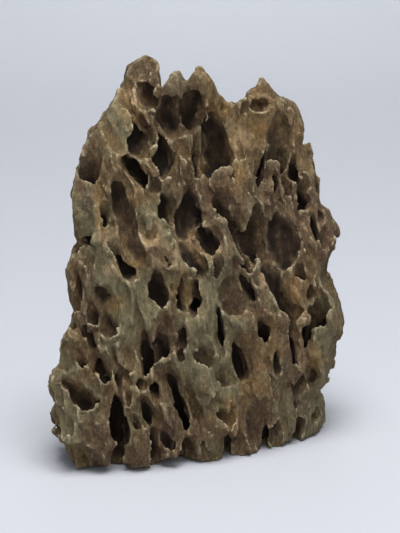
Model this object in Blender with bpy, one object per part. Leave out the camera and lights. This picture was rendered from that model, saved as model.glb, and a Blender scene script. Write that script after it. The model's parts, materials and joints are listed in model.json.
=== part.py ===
"""A dragon stone: a clay-rich rock that water has worn into pockets, ribs and horns.

One natural piece, cut flat under its feet. Sizes are in millimetres until the last step. The outline,
the lumps and the pockets are given as they are seen on an upright sheet that stands through the middle
of the stone (x to the right, z up), from a point in front of it and a little above.
"""

import math

import bmesh
import bpy
import numpy as np
from mathutils import Vector
from mathutils.bvhtree import BVHTree

for old in list(bpy.data.objects):
    bpy.data.objects.remove(old, do_unlink=True)

# Driving sizes, in millimetres
MM = 0.001
EYE = np.array([2.0, -1442.0, 550.0])
EYE_HEIGHT_ANGLE = math.radians(16)
BLOCK_LOW = np.array([-116.0, -78.0, -6.0])
BLOCK_HIGH = np.array([118.0, 86.0, 304.0])
MOST_TRIANGLES = 9700

# The outline on the sheet: up the left edge, along the horns, down the right edge, along the feet
LEFT_EDGE = [(-92, -21), (-97, -11), (-101, 0), (-110, 8), (-109, 31), (-112, 45), (-109, 57),
             (-103, 63), (-101, 81), (-95, 93), (-92, 104), (-95, 112), (-98, 134), (-94, 142),
             (-89, 158), (-92, 179), (-92, 194), (-88, 212), (-83, 228), (-78, 242),
             (-72, 246), (-64, 258), (-58, 267)]
HORNS = [(-56, 272), (-53, 278), (-50, 288), (-44, 293), (-37, 295), (-31, 293), (-28, 288),
         (-27, 279), (-26, 271), (-22, 276), (-17, 284), (-13, 285), (-10, 277), (-6, 277),
         (1, 289), (6, 283), (12, 275), (15, 268), (20, 262), (27, 260), (34, 263), (36, 269),
         (43, 273), (46, 279), (51, 275), (60, 265), (69, 262), (72, 258)]
RIGHT_EDGE = [(76, 247), (81, 236), (84, 225), (86, 211), (89, 206), (90, 187), (96, 181),
              (102, 172), (107, 155), (100, 148), (98, 138), (101, 125), (105, 115), (110, 98),
              (107, 81), (103, 73), (103, 60), (97, 45), (96, 30), (97, 17), (92, 9)]
BASE_LINE = [(84, 5), (79, 1), (66, 0), (63, -5), (52, -6), (49, -11), (36, -11), (33, -14), (22, -16),
             (0, -15), (-6, -11), (-14, -11), (-22, -14), (-32, -16), (-34, -21), (-51, -21), (-55, -17),
             (-65, -17), (-68, -19)]

# The body: a slab with round ends, turned so that its right end lies further back
LEVELS = [0, 60, 130, 152, 170, 200, 262, 300]
FRONT_REACH = [56, 59, 52, 51, 44, 40, 30, 19]
BACK_REACH = [40, 46, 43, 41, 38, 35, 25, 14]
TURN = 0.40
MIDDLE_Y = 12.0
LEAN_BACK = -0.02
ROUNDNESS = 2.5
EDGE_MARGIN = 4.0
EDGE_SOFTNESS = 7.0
BODY_FOOT = -14.0
RINGS = 28
RING_POINTS = 64
LEFT_END_Y = -26.0
RIGHT_END_Y = 26.0

# The top falls towards the back by this much a millimetre, and the rings bend into it from FALL_START up
BODY_TOP = 264.0
TOP_FALL = 0.5
FALL_START = 200.0

# The horns on the body's top: x, y, z of the middle, then the three radii
HORN_FORMS = [
    (-38, -6, 258, 19, 16, 42), (-55, -12, 244, 16, 14, 30), (-20, -14, 263, 18, 20, 26),
    (2, -6, 262, 17, 20, 29), (47, 24, 248, 14, 14, 34), (64, 31, 238, 16, 15, 30),
    (-40, 12, 240, 13, 12, 26), (-8, 22, 242, 14, 11, 24), (22, 32, 230, 13, 11, 26), (52, 46, 228, 13, 10, 26),
    (-39, -6, 272, 13, 12, 22), (0, -8, 266, 12, 14, 29),
]

# The lumps: x, z, width, height, lean of the foot to the right in degrees, and rise off the skin
LUMP_THICKNESS = 14.0
LUMP_SHARE = 0.58
LUMPS = [
    # crown
    (-33, 279, 22, 34, 0, 5), (-17, 277, 18, 14, 0, 4), (2, 276, 20, 14, 0, 4), (53, 252, 14, 22, 10, 4),
    (57, 240, 22, 42, 5, 4), (24, 257, 8, 10, 20, 4), (33, 260, 7, 11, -15, 4), (40, 267, 7, 10, 10, 4),
    (-57, 247, 11, 34, 22, 5), (-18, 238, 34, 7, -18, 7), (-11, 218, 14, 38, 0, 7), (36, 237, 13, 45, 5, 5),
    # shoulders and chest
    (62, 233, 14, 46, 5, 4), (-69, 195, 7, 68, -3, 4), (-61, 214, 10, 20, 10, 5), (20, 197, 30, 44, 3, 6),
    (39, 193, 6, 46, 10, 4), (-34, 174, 28, 38, 15, 6), (-29, 157, 24, 10, -5, 7), (13, 161, 26, 29, 5, 5),
    (41, 160, 8, 40, 10, 4),
    # the zig-zag lip under the chest
    (-69, 164, 22, 8, 20, 5), (-54, 159, 22, 8, -51, 5), (-41, 154, 17, 8, 17, 5), (-26, 160, 20, 8, 25, 5),
    (-9, 166, 19, 8, 16, 5), (11, 171, 26, 8, 10, 4),
    # waist
    (-47, 112, 22, 38, 5, 4), (45, 121, 9, 24, 10, 5), (30, 87, 16, 29, 5, 5), (7, 74, 19, 68, 0, 4),
    (77, 98, 12, 72, 6, 7), (95, 77, 12, 64, -8, 5),
    # hips and feet
    (-51, 66, 22, 35, 3, 6), (-98, 26, 13, 46, 5, 7), (47, 42, 16, 36, 0, 8), (-78, 7, 25, 47, 3, 7),
    (-43, -4, 19, 29, 0, 8), (-25, 24, 12, 38, 12, 5), (6, 36, 16, 40, 5, 5), (12, 8, 22, 40, 3, 8),
    (29, 2, 11, 21, 0, 6), (43, 9, 15, 30, 0, 5), (58, 7, 10, 17, 0, 5), (72, 14, 12, 18, 0, 5),
    (85, 20, 12, 20, 0, 4),
]

# The pockets on the face: x, z, width, height, lean, depth
POCKETS = [
    # round the horns
    (-38, 266, 11, 22, 25, 18), (47, 261, 9, 12, 0, 14), (-51, 262, 5, 26, 30, 5),
    (-44, 254, 6, 26, 28, 7),
    (12, 256, 6, 12, 30, 6), (19, 258, 4, 6, 0, 6), (35, 257, 6, 9, 0, 5), (59, 239, 17, 40, 5, 6),
    # shoulders
    (14, 232, 19, 35, 4, 16), (-42, 231, 16, 25, 8, 20), (70, 228, 6, 46, 3, 5), (32, 224, 7, 14, 0, 5),
    (-60, 222, 3, 21, 0, 4), (-25, 220, 12, 29, 8, 22), (66, 220, 9, 23, 0, 6),
    (1, 219, 8, 27, 3, 20), (45, 218, 9, 21, 0, 5), (28, 215, 4, 15, 5, 7), (-15, 213, 6, 15, 0, 3),
    (-77, 209, 15, 52, -8, 6), (-45, 209, 11, 29, 33, 20), (48, 209, 6, 27, -10, 15), (71, 213, 8, 24, 0, 12),
    (-34, 203, 6, 16, 15, 14), (57, 201, 4, 15, 5, 8), (79, 201, 6, 18, 0, 5), (64, 199, 9, 15, 0, 6),
    # chest
    (-5, 194, 9, 30, 5, 5), (6, 194, 7, 24, 0, 4), (-69, 192, 2, 12, 0, 8), (-61, 191, 7, 18, 0, 5),
    (18, 191, 12, 30, 0, 3), (78, 188, 9, 18, 15, 11), (-30, 183, 6, 18, 20, 6), (-20, 182, 9, 24, 5, 16),
    (91, 177, 6, 8, 20, 7), (-41, 174, 6, 18, 10, 5), (-5, 176, 18, 31, 3, 17), (-66, 176, 8, 28, 3, 8),
    (-51, 169, 15, 38, 14, 11), (86, 168, 4, 18, 12, 9), (48, 163, 6, 36, 12, 17), (97, 163, 9, 20, -10, 5),
    (64, 161, 20, 40, 15, 17), (-82, 157, 7, 7, 0, 9), (7, 159, 11, 24, 20, 14), (33, 157, 11, 42, 22, 20),
    # waist
    (-80, 156, 3, 5, 0, 8), (-41, 153, 4, 6, 0, 3), (-60, 152, 14, 24, 10, 6), (-6, 149, 16, 31, 18, 12),
    (-21, 140, 2, 11, 20, 5), (16, 140, 9, 18, 5, 4), (77, 140, 7, 21, 5, 4), (-53, 134, 9, 20, 35, 24),
    (-74, 124, 2, 4, 0, 5), (-89, 123, 5, 29, 10, 9), (91, 123, 7, 18, -10, 5), (37, 121, 7, 20, 28, 18),
    (85, 119, 6, 12, 0, 8), (-29, 119, 13, 26, 8, 13), (64, 118, 8, 55, 13, 17), (-70, 115, 7, 15, 25, 12),
    (28, 115, 20, 27, 0, 5), (-12, 111, 4, 14, 3, 15), (96, 109, 7, 9, 0, 6), (-1, 108, 6, 12, 0, 24),
    # hips
    (-79, 102, 9, 18, 0, 9), (-65, 94, 12, 20, 5, 13), (85, 93, 6, 60, 0, 12), (92, 103, 14, 30, 0, 7),
    (17, 90, 5, 29, 4, 16), (-83, 88, 6, 12, 0, 6), (50, 88, 10, 22, 18, 10), (-78, 81, 7, 11, 10, 7),
    (-12, 79, 7, 17, 3, 14), (-25, 78, 12, 27, 5, 9), (72, 77, 5, 33, 12, 15), (-90, 73, 7, 27, 0, 4),
    (-64, 68, 4, 24, 8, 7), (-50, 71, 15, 27, 0, 3), (-30, 71, 4, 14, 5, 14), (-38, 69, 8, 38, 10, 13),
    (6, 69, 12, 18, 0, 3), (-77, 68, 12, 32, 22, 7), (-12, 67, 6, 9, 0, 8), (33, 63, 12, 26, 12, 22),
    # knees
    (59, 60, 4, 14, 5, 12), (19, 53, 10, 14, 0, 4), (87, 53, 6, 12, 0, 8), (-70, 54, 8, 16, 5, 20),
    (-54, 49, 6, 12, 20, 10), (-59, 46, 4, 14, 3, 12), (-42, 45, 9, 10, -40, 12), (68, 45, 2, 3, 0, 5),
    (72, 43, 2, 9, 20, 6), (80, 45, 9, 10, 0, 15), (-88, 42, 10, 34, 38, 18), (-31, 41, 7, 15, 5, 15),
    (77, 39, 4, 4, 0, 9), (-74, 33, 3, 5, 0, 6), (7, 30, 12, 24, 10, 3),
    # feet
    (74, 29, 4, 6, 0, 8), (-12, 28, 8, 46, 16, 22), (92, 24, 7, 11, 0, 7),
    (27, 22, 4, 12, 0, 5), (-38, 25, 7, 20, 12, 10), (23, 19, 6, 15, 5, 12), (-46, 15, 4, 12, 0, 7),
    (-58, 11, 15, 38, 5, 26), (43, 10, 14, 24, 5, 4), (-32, 4, 7, 14, 0, 7),
    (-22, 1, 7, 18, 20, 12), (-60, -14, 11, 24, 0, 18), (-31, -9, 8, 22, 5, 15), (-8, -8, 12, 20, 0, 14),
    (23, -5, 6, 22, 0, 13), (36, -2, 6, 26, 0, 16), (52, 2, 7, 24, 0, 18), (65, 6, 7, 22, 0, 16),
    (79, 11, 6, 20, 0, 12),
]

# A pocket deeper than SHALLOW has its foot tilted further into the rock. Its middle is sunk by a share
# of its depth, and its foot is wider than its head by FLARE.
SHALLOW = 6
DEEP_TILT = 28
SHALLOW_TILT = 14
SUNK_SHARE = 0.18
THICK_SHARE = 0.72
FLARE = 0.3

# The lip under the foot of a pocket that is both deep and wide enough
LIP_DEPTH = 8
LIP_WIDTH = 8
LIP_THICKNESS = 6.0
LIP_SINK = 2.5

# The shallow bowls that lead into the deep, narrow pockets below the crown
LEAD_TILT = 8
LEAD_WIDTH = 1.4
LEAD_HEIGHT = 1.6
LEAD_WIDEST = 14
LEAD_TOP = 225

# The alcove under the middle horns: x and z on the sheet, y of the middle, then the three radii
ALCOVES = [(-20, 254, -28, 12, 13, 19), (-3, 255, -23, 11, 13, 18)]
FACE_OUT = np.array([0.37, -0.93, 0.0])
ALCOVE_TILT = -20

# The pockets on the other sides are scattered between these sizes
SCATTER_SEED = 11
SCATTER_TRIES = 3000
SCATTER_Z = (4, 244)
WIDTHS = (7, 18)
HEIGHT_SHARES = (1.4, 2.8)
LEANS = (4, 20)
DEPTHS = (7, 22)
FACE_LIMIT = -0.35
SIDE_LIMIT = 0.45
SIDE_DEPTH = 8

# The scooped skin: cells three times as tall as wide, along a grain that leans twelve degrees
GRAIN_LEAN = math.tan(math.radians(12))
SCOOP_WIDTH, SCOOP_HEIGHT, SCOOP_DEPTH, SCOOP_SEED = 17, 38, 2.8, 31
SCOOP_MEAN, SCOOP_RANGE = 0.36, 0.3

# The ribs that stand on it, along the same grain
RIB_WIDTH, RIB_HEIGHT, RIB_DEPTH, RIB_SINK, RIB_SEED = 15, 48, 4.5, 1.4, 20

# How fine the working meshes are
BODY_VOXEL = 2.6
STONE_VOXEL = 2.2
CUTTER_VOXEL = 1.6
BALL_ROUNDS = 3
THINNING = 3
MERGE = 0.02


# ---- Wandering lines: a slow random drift that bends every form ----

def drift_at(points, cell, seed):
    """Cubic B-spline blend of random numbers on a lattice of the given cell, at any points."""
    cell = np.array(cell, float)
    shape = ((BLOCK_HIGH - BLOCK_LOW) // cell).astype(int) + 6
    knots = np.random.default_rng(seed).normal(size=shape)
    u = np.clip((points - BLOCK_LOW) / cell, 0, shape - 4.001)
    first = u.astype(int)
    t = u - first
    weights = np.array([(1 - t) ** 3, 3 * t**3 - 6 * t**2 + 4, -3 * t**3 + 3 * t**2 + 3 * t + 1, t**3]) / 6
    total = np.zeros(len(points))
    for step in np.ndindex(4, 4, 4):
        i, j, k = (first + step).T
        weight = weights[step[0], :, 0] * weights[step[1], :, 1] * weights[step[2], :, 2]
        total += weight * knots[i, j, k]
    return 1.9 * total


def drift(points):
    """How far the drift carries each point, in x, y and z. The parts without a sign leave sharp
    corners in every rim."""
    dx = 1.6 * drift_at(points, (9, 9, 16), 2) + 1.6 * np.abs(drift_at(points, (7, 7, 12), 7)) - 0.8
    dy = 3.0 * drift_at(points, (30, 30, 42), 3) + 1.6 * drift_at(points, (9, 9, 16), 4)
    dz = 2.0 * drift_at(points, (28, 28, 34), 5) + 1.8 * drift_at(points, (10, 10, 16), 6)
    dz += 2.6 * np.abs(drift_at(points, (7, 7, 13), 8)) - 1.3
    return np.stack([dx, dy, dz], 1)


def bent(points):
    """Where straight forms end up once the drift has bent them."""
    back = points
    for _ in range(4):
        back = points - drift(back)
    return back


# ---- Mesh helpers ----

def new_object(name, vertices, faces):
    mesh = bpy.data.meshes.new(name)
    mesh.from_pydata([tuple(v) for v in vertices], [], faces)
    made = bpy.data.objects.new(name, mesh)
    bpy.context.scene.collection.objects.link(made)
    return made


def vertices_of(thing):
    values = np.empty(3 * len(thing.data.vertices), np.float32)
    thing.data.vertices.foreach_get("co", values)
    return values.reshape(-1, 3).astype(float)


def move_vertices(thing, points):
    thing.data.vertices.foreach_set("co", points.astype(np.float32).ravel())
    thing.data.update()


def apply_modifiers(thing):
    graph = bpy.context.evaluated_depsgraph_get()
    mesh = bpy.data.meshes.new_from_object(thing.evaluated_get(graph))
    thing.modifiers.clear()
    old = thing.data
    thing.data = mesh
    bpy.data.meshes.remove(old)


def remeshed(thing, voxel):
    """Rebuilds everything that overlaps in the object as one skin of even squares."""
    change = thing.modifiers.new("one skin", "REMESH")
    change.mode = "VOXEL"
    change.voxel_size = voxel
    apply_modifiers(thing)


def combine(thing, other, operation):
    """Cuts the other object out of this one, or keeps what is in both, and removes the other."""
    other.hide_render = True
    other.display_type = "WIRE"
    change = thing.modifiers.new(operation.lower(), "BOOLEAN")
    change.operation = operation
    change.solver = "EXACT"
    change.object = other
    apply_modifiers(thing)
    bpy.data.objects.remove(other, do_unlink=True)


def keep_largest(thing):
    """Merges points that fall together, then removes every loose scrap and sealed bubble, so one
    closed body is left."""
    bm = bmesh.new()
    bm.from_mesh(thing.data)
    bmesh.ops.remove_doubles(bm, verts=bm.verts, dist=MERGE)
    bmesh.ops.dissolve_degenerate(bm, edges=bm.edges, dist=MERGE)
    left = set(bm.verts)
    islands = []
    while left:
        stack = [left.pop()]
        island = list(stack)
        while stack:
            for edge in stack.pop().link_edges:
                for vert in edge.verts:
                    if vert in left:
                        left.remove(vert)
                        stack.append(vert)
                        island.append(vert)
        islands.append(island)
    islands.sort(key=len)
    for island in islands[:-1]:
        bmesh.ops.delete(bm, geom=island, context="VERTS")
    bm.to_mesh(thing.data)
    bm.free()


def ellipsoids(name, forms):
    """One object of all these ellipsoids: each a centre, three directions, three radii and a flare."""
    ball = bmesh.new()
    bmesh.ops.create_icosphere(ball, subdivisions=BALL_ROUNDS, radius=1.0)
    unit = np.array([v.co for v in ball.verts])
    triangles = np.array([[v.index for v in f.verts] for f in ball.faces])
    ball.free()
    vertices = []
    faces = []
    for number, (centre, directions, radii, flare) in enumerate(forms):
        local = unit * np.array(radii)
        local[:, 0] *= 1 + flare * unit[:, 2]
        vertices.append(centre + local @ np.array(directions))
        turned = triangles if np.linalg.det(np.array(directions)) > 0 else triangles[:, ::-1]
        faces.append(turned + number * len(unit))
    return new_object(name, np.concatenate(vertices), np.concatenate(faces).tolist())


# ---- The body ----

def edge_reach(edge, y, heights):
    """The outline's x at real heights, for an edge that lies at depth y."""
    p = np.array(edge, float)
    reach = (EYE[1] - y) / EYE[1]
    x = EYE[0] + (p[:, 0] - EYE[0]) * reach
    z = EYE[2] + (p[:, 1] - EYE[2]) * reach
    order = np.argsort(z)
    return np.interp(heights, z[order], x[order])


HEIGHTS = np.arange(BLOCK_LOW[2], BLOCK_HIGH[2] + 1.0)
SOFTENER = np.exp(-0.5 * (np.arange(-15, 16) / EDGE_SOFTNESS) ** 2)


def softened(reach):
    return np.convolve(np.pad(reach, 15, "edge"), SOFTENER / SOFTENER.sum(), "valid")


LEFT = softened(edge_reach(LEFT_EDGE + HORNS[:4], LEFT_END_Y, HEIGHTS) - EDGE_MARGIN)
RIGHT = softened(edge_reach(HORNS[-4:] + RIGHT_EDGE, RIGHT_END_Y, HEIGHTS) + EDGE_MARGIN)


def ring(z, angles):
    """The body's superellipse at one height, sheared so that its right end lies further back."""
    left, right = np.interp(z, HEIGHTS, LEFT), np.interp(z, HEIGHTS, RIGHT)
    c, s = np.cos(angles), np.sin(angles)
    size = (np.abs(c) ** ROUNDNESS + np.abs(s) ** ROUNDNESS) ** (-1 / ROUNDNESS)
    depth = np.where(s > 0, np.interp(z, LEVELS, BACK_REACH), np.interp(z, LEVELS, FRONT_REACH))
    across = (right - left) / 2 * c * size
    y = MIDDLE_Y + LEAN_BACK * z + TURN * across + depth * s * size
    share = np.clip((z - FALL_START) / (BODY_TOP - FALL_START), 0, 1)
    fall = TOP_FALL * share * np.maximum(y - MIDDLE_Y, 0)
    return np.stack([(left + right) / 2 + across, y, z - fall], 1)


def make_body():
    """The rings bridged into a closed slab, a little longer at both ends than the stone."""
    angles = np.linspace(0, 2 * math.pi, RING_POINTS, endpoint=False)
    bm = bmesh.new()
    loops = []
    for z in np.linspace(BODY_FOOT, BODY_TOP, RINGS):
        verts = [bm.verts.new(p) for p in ring(z, angles)]
        loops.append([bm.edges.new((a, b)) for a, b in zip(verts, verts[1:] + verts[:1])])
    for below, above in zip(loops, loops[1:]):
        bmesh.ops.bridge_loops(bm, edges=below + above)
    bmesh.ops.holes_fill(bm, edges=loops[0] + loops[-1])
    bmesh.ops.recalc_face_normals(bm, faces=bm.faces)
    mesh = bpy.data.meshes.new("dragon_stone")
    bm.to_mesh(mesh)
    bm.free()
    made = bpy.data.objects.new("dragon_stone", mesh)
    bpy.context.scene.collection.objects.link(made)
    return made


# ---- Putting forms on the skin ----

def skin_tree(thing, points):
    """A search tree of the object's faces, with its vertices at the given points."""
    faces = [tuple(p.vertices) for p in thing.data.polygons]
    return BVHTree.FromPolygons([Vector(p) for p in points], faces)


def smooth_normal(tree, point, reach):
    """The skin's outward direction, averaged over the faces within reach of the point."""
    total = Vector()
    for _, normal, _, _ in tree.find_nearest_range(Vector(point), reach):
        total += normal
    return np.array(total.normalized())


def aim(tree, x, z):
    """The first skin point on the line from the eye through a point of the sheet, the skin's outward
    direction there, and the line's direction. A line that misses takes the nearest skin."""
    ray = np.array([x, 0.0, z]) - EYE
    ray /= np.linalg.norm(ray)
    hit = tree.ray_cast(Vector(EYE), Vector(ray))[0]
    if hit is None:
        hit = tree.find_nearest(Vector((x, 0.0, z)))[0]
    point = np.array(hit)
    return point, smooth_normal(tree, point, 5.0), ray


def lie_on(out, lean, tilt):
    """Three directions for a form on the skin: across, through, and along. Along runs down the skin,
    its foot turned to the right by lean and into the rock by tilt, both in degrees."""
    down = np.array([0.0, 0.0, -1.0])
    down = down - out * (down @ out)
    down /= np.linalg.norm(down)
    across = np.cross(out, down)
    across = across if across[0] >= 0 else -across
    lean, tilt = math.radians(lean), math.radians(tilt)
    along = down * math.cos(lean) + across * math.sin(lean)
    along = along * math.cos(tilt) - out * math.sin(tilt)
    across = np.cross(along, out)
    across /= np.linalg.norm(across)
    return np.array([across, np.cross(across, along), along])


def seen_share(direction, ray):
    """How much of a length laid along a direction is left when it is seen along the ray."""
    return max(0.5, np.linalg.norm(direction - ray * (direction @ ray)))


def pocket_form(point, out, width, height, lean, depth):
    """The ellipsoid whose mouth on the skin is width by height. Its foot is tilted into the rock."""
    tilt = DEEP_TILT if depth > SHALLOW else SHALLOW_TILT
    directions = lie_on(out, lean, tilt)
    sunk = SUNK_SHARE * depth
    through = max(THICK_SHARE * depth, 0.28 * width)
    slope_in, slope_up = math.sin(math.radians(tilt)), math.cos(math.radians(tilt))
    along = 0.56 * height
    for _ in range(6):
        reach = math.hypot(along * slope_in, through * slope_up)
        open_share = math.sqrt(max(0.15, 1 - (sunk / reach) ** 2))
        mouth = 2 * open_share / math.hypot(slope_up / along, slope_in / through)
        along = min(along * (height / mouth) ** 0.9, 1.1 * height)
    radii = (0.5 * width / open_share, through, along)
    return point - out * sunk, directions, radii, FLARE


def straight(point):
    """Where a real point lies before the drift bends the forms."""
    return point + drift(np.array([point]))[0]


def add_lumps(stone):
    """Joins the horns and the lumps to the body, each lump laid on the bent skin."""
    straight_horns = [(np.array(h[:3], float), np.eye(3), h[3:], 0) for h in HORN_FORMS]
    forms = [(straight(c), d, r, f) for c, d, r, f in straight_horns]
    join_mesh(stone, ellipsoids("horns", forms))
    tree = skin_tree(stone, bent(vertices_of(stone)))
    forms = []
    for x, z, width, height, lean, rise in LUMPS:
        point, out, ray = aim(tree, x, z)
        centre = straight(point + out * (rise - LUMP_THICKNESS))
        radii = (LUMP_SHARE * width, LUMP_THICKNESS, LUMP_SHARE * height)
        forms.append((centre, lie_on(out, lean, 0), radii, 0))
    join_mesh(stone, ellipsoids("lumps", forms))


def join_mesh(thing, added):
    """Moves the other object's mesh into this one's."""
    bm = bmesh.new()
    bm.from_mesh(thing.data)
    bm.from_mesh(added.data)
    bm.to_mesh(thing.data)
    bm.free()
    bpy.data.objects.remove(added, do_unlink=True)


# ---- The scooped skin ----

def cell_numbers(ix, iy, iz, seed):
    """A number from 0 to 1023 for each cell, mixed from its three indices."""
    mixed = ix.astype(np.int64) * 73856093 ^ iy.astype(np.int64) * 19349663
    mixed = mixed ^ iz.astype(np.int64) * 83492791 ^ seed * 2654435761
    mixed = (mixed ^ mixed >> 13) * 1274126177
    return (mixed ^ mixed >> 16) & 1023


def scoop_depth(points):
    """Depth (0.36 - d) / 0.3 of the squared distance d to the nearest of the points scattered one to a
    cell, where 0.36 is the mean of d. Halfway between two of them the presses meet in a ridge."""
    scatter = np.random.default_rng(SCOOP_SEED).uniform(0.1, 0.9, (1024, 3))
    x = (points[:, 0] + GRAIN_LEAN * points[:, 2]) / SCOOP_WIDTH
    place = np.stack([x, points[:, 1] / SCOOP_WIDTH, points[:, 2] / SCOOP_HEIGHT], 1)
    cell = np.floor(place).astype(int)
    least = np.full(len(points), 9.0)
    for near in np.ndindex(3, 3, 3):
        other = cell + near - 1
        spot = other + scatter[cell_numbers(*other.T, SCOOP_SEED)]
        least = np.minimum(least, ((spot - place) ** 2).sum(1))
    return SCOOP_DEPTH * (SCOOP_MEAN - least) / SCOOP_RANGE


def gradient_noise(points, seed):
    """Noise of random slopes: at each corner of a cell a slope times the offset from it, blended by
    6t^5 - 15t^4 + 10t^3."""
    slopes = np.random.default_rng(seed).normal(size=(1024, 3)).astype(np.float32)
    slopes /= np.linalg.norm(slopes, axis=1, keepdims=True)
    cell = np.floor(points).astype(int)
    part = points - cell
    ease = part**3 * (part * (6 * part - 15) + 10)
    total = np.zeros(len(points))
    for corner in np.ndindex(2, 2, 2):
        slope = slopes[cell_numbers(*(cell + corner).T, seed)]
        share = np.where(corner, ease, 1 - ease).prod(1)
        total += share * ((part - corner) * slope).sum(1)
    return 1.6 * total


def rib_depth(points):
    """How far the skin is pressed in between the ribs, which run along the noise's zero lines."""
    x = (points[:, 0] + GRAIN_LEAN * points[:, 2]) / RIB_WIDTH
    place = np.stack([x, points[:, 1] / RIB_WIDTH, points[:, 2] / RIB_HEIGHT], 1)
    return RIB_DEPTH * np.abs(gradient_noise(place, RIB_SEED)) - RIB_SINK


def scoop_skin(stone):
    """Presses the skin in along its normals, then bends it by the drift."""
    points = vertices_of(stone)
    normals = np.empty(3 * len(points), np.float32)
    stone.data.vertices.foreach_get("normal", normals)
    press = scoop_depth(points) + rib_depth(points)
    move_vertices(stone, bent(points - press[:, None] * normals.reshape(-1, 3)))


# ---- Outline and floor ----

def outline_block():
    """All that lies inside the outline as the eye sees it: the outline carried along the sight lines
    from in front of the stone to behind it."""
    outline = np.array(LEFT_EDGE + HORNS + RIGHT_EDGE + BASE_LINE, float)
    bm = bmesh.new()
    ends = []
    for y in (-140.0, 150.0):
        reach = (EYE[1] - y) / EYE[1]
        x = EYE[0] + (outline[:, 0] - EYE[0]) * reach
        z = EYE[2] + (outline[:, 1] - EYE[2]) * reach
        ends.append([bm.verts.new((a, y, b)) for a, b in zip(x, z)])
    for end in ends:
        bm.faces.new(end)
    near, far = ends
    for i in range(len(near)):
        j = (i + 1) % len(near)
        bm.faces.new((near[i], near[j], far[j], far[i]))
    bmesh.ops.recalc_face_normals(bm, faces=bm.faces)
    bmesh.ops.triangulate(bm, faces=bm.faces)
    mesh = bpy.data.meshes.new("outline")
    bm.to_mesh(mesh)
    bm.free()
    block = bpy.data.objects.new("outline", mesh)
    bpy.context.scene.collection.objects.link(block)
    return block


def cut_flat(thing):
    """Cuts everything below z = 0 away and closes the cut with a flat underside."""
    bm = bmesh.new()
    bm.from_mesh(thing.data)
    every = bm.verts[:] + bm.edges[:] + bm.faces[:]
    cut = bmesh.ops.bisect_plane(bm, geom=every, dist=MERGE, plane_co=(0, 0, 0), plane_no=(0, 0, 1),
                                 clear_inner=True)
    rim = [part for part in cut["geom_cut"] if isinstance(part, bmesh.types.BMEdge)]
    for vert in bm.verts:
        if vert.co.z < MERGE:
            vert.co.z = 0.0
    bmesh.ops.triangle_fill(bm, edges=rim, use_beauty=True, normal=(0, 0, -1))
    bmesh.ops.recalc_face_normals(bm, faces=bm.faces)
    bm.to_mesh(thing.data)
    bm.free()


# ---- The pockets ----

def lead_in_form(point, out, width, height, lean, depth):
    """A wide shallow bowl round the head of a pocket. A bowl of depth d is an ellipsoid 3 d thick whose
    centre is 2 d above the skin, so its mouth is 0.745 of its full width."""
    directions = lie_on(out, lean, LEAD_TILT)
    bowl = 1.5 + 0.22 * depth
    centre = point - directions[2] * 0.35 * height + out * 2 * bowl
    radii = (LEAD_WIDTH * width / 1.49, 3 * bowl, LEAD_HEIGHT * height / 1.49)
    return straight(centre), directions, radii, FLARE


def face_pockets(tree):
    """The pockets on the face, the bowl that leads into each deep narrow one, a lip under the foot of
    each deep one, and each one's place and width."""
    pockets = []
    lead_ins = []
    lips = []
    taken = []
    for x, z, width, height, lean, depth in POCKETS:
        point, out, ray = aim(tree, x, z)
        flat = lie_on(out, lean, 0)
        width = width / seen_share(flat[0], ray)
        height = height / seen_share(flat[2], ray)
        centre, *form = pocket_form(point, out, width, height, lean, depth)
        pockets.append((straight(centre), *form))
        taken.append((straight(point), width))
        if depth >= LIP_DEPTH and width < LEAD_WIDEST and point[2] < LEAD_TOP:
            lead_ins.append(lead_in_form(point, out, width, height, lean, depth))
        if depth >= LIP_DEPTH and width >= LIP_WIDTH:
            centre = straight(point + flat[2] * 0.45 * height - out * LIP_SINK)
            lips.append((centre, flat, (0.55 * width, LIP_THICKNESS, 0.12 * height + 3), 0))
    return pockets, lead_ins, lips, taken


def alcove_pockets():
    """The two bowls of the alcove, which run up behind an overhanging rim."""
    pockets = []
    for x, z, y, *radii in ALCOVES:
        centre = EYE + (np.array([x, 0.0, z]) - EYE) * (EYE[1] - y) / EYE[1]
        pockets.append((straight(centre), lie_on(FACE_OUT, 0, ALCOVE_TILT), radii, FLARE))
    return pockets


def round_the_side(angle, z):
    """A point of the body's superellipse at an angle and height, and its outward direction there."""
    point = ring(z, np.array([angle]))[0]
    half = (np.interp(z, HEIGHTS, RIGHT) - np.interp(z, HEIGHTS, LEFT)) / 2
    c, s = math.cos(angle), math.sin(angle)
    size = (abs(c) ** ROUNDNESS + abs(s) ** ROUNDNESS) ** (-1 / ROUNDNESS)
    depth = np.interp(z, LEVELS, BACK_REACH if s > 0 else FRONT_REACH)
    slope_v = math.copysign(abs(s * size) ** (ROUNDNESS - 1), s) / depth
    slope_u = math.copysign(abs(c * size) ** (ROUNDNESS - 1), c) / half - TURN * slope_v
    out = np.array([slope_u, slope_v, 0.1 * math.hypot(slope_u, slope_v)])
    return point, out / np.linalg.norm(out)


def other_pockets(face):
    """Pockets of the same kind on the sides that the eye doesn't see, with room kept between them."""
    dice = np.random.default_rng(SCATTER_SEED)
    sight = np.array([0.0, math.cos(EYE_HEIGHT_ANGLE), -math.sin(EYE_HEIGHT_ANGLE)])
    taken = list(face)
    pockets = []
    for _ in range(SCATTER_TRIES):
        point, out = round_the_side(dice.uniform(0, 2 * math.pi), dice.uniform(*SCATTER_Z))
        width = dice.uniform(*WIDTHS)
        height = width * dice.uniform(*HEIGHT_SHARES)
        lean, depth = dice.uniform(*LEANS), dice.uniform(*DEPTHS)
        if out @ sight < FACE_LIMIT:
            continue
        if out @ sight < SIDE_LIMIT:
            depth = min(depth, SIDE_DEPTH)
        apart = [math.hypot(math.hypot(*(point - p)[:2]), 0.6 * (point - p)[2]) - 0.48 * (width + w)
                 for p, w in taken]
        if min(apart) < 0:
            continue
        taken.append((point, width))
        pockets.append(pocket_form(point, out, width, height, lean, depth))
    return pockets


# ---- Building ----

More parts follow.
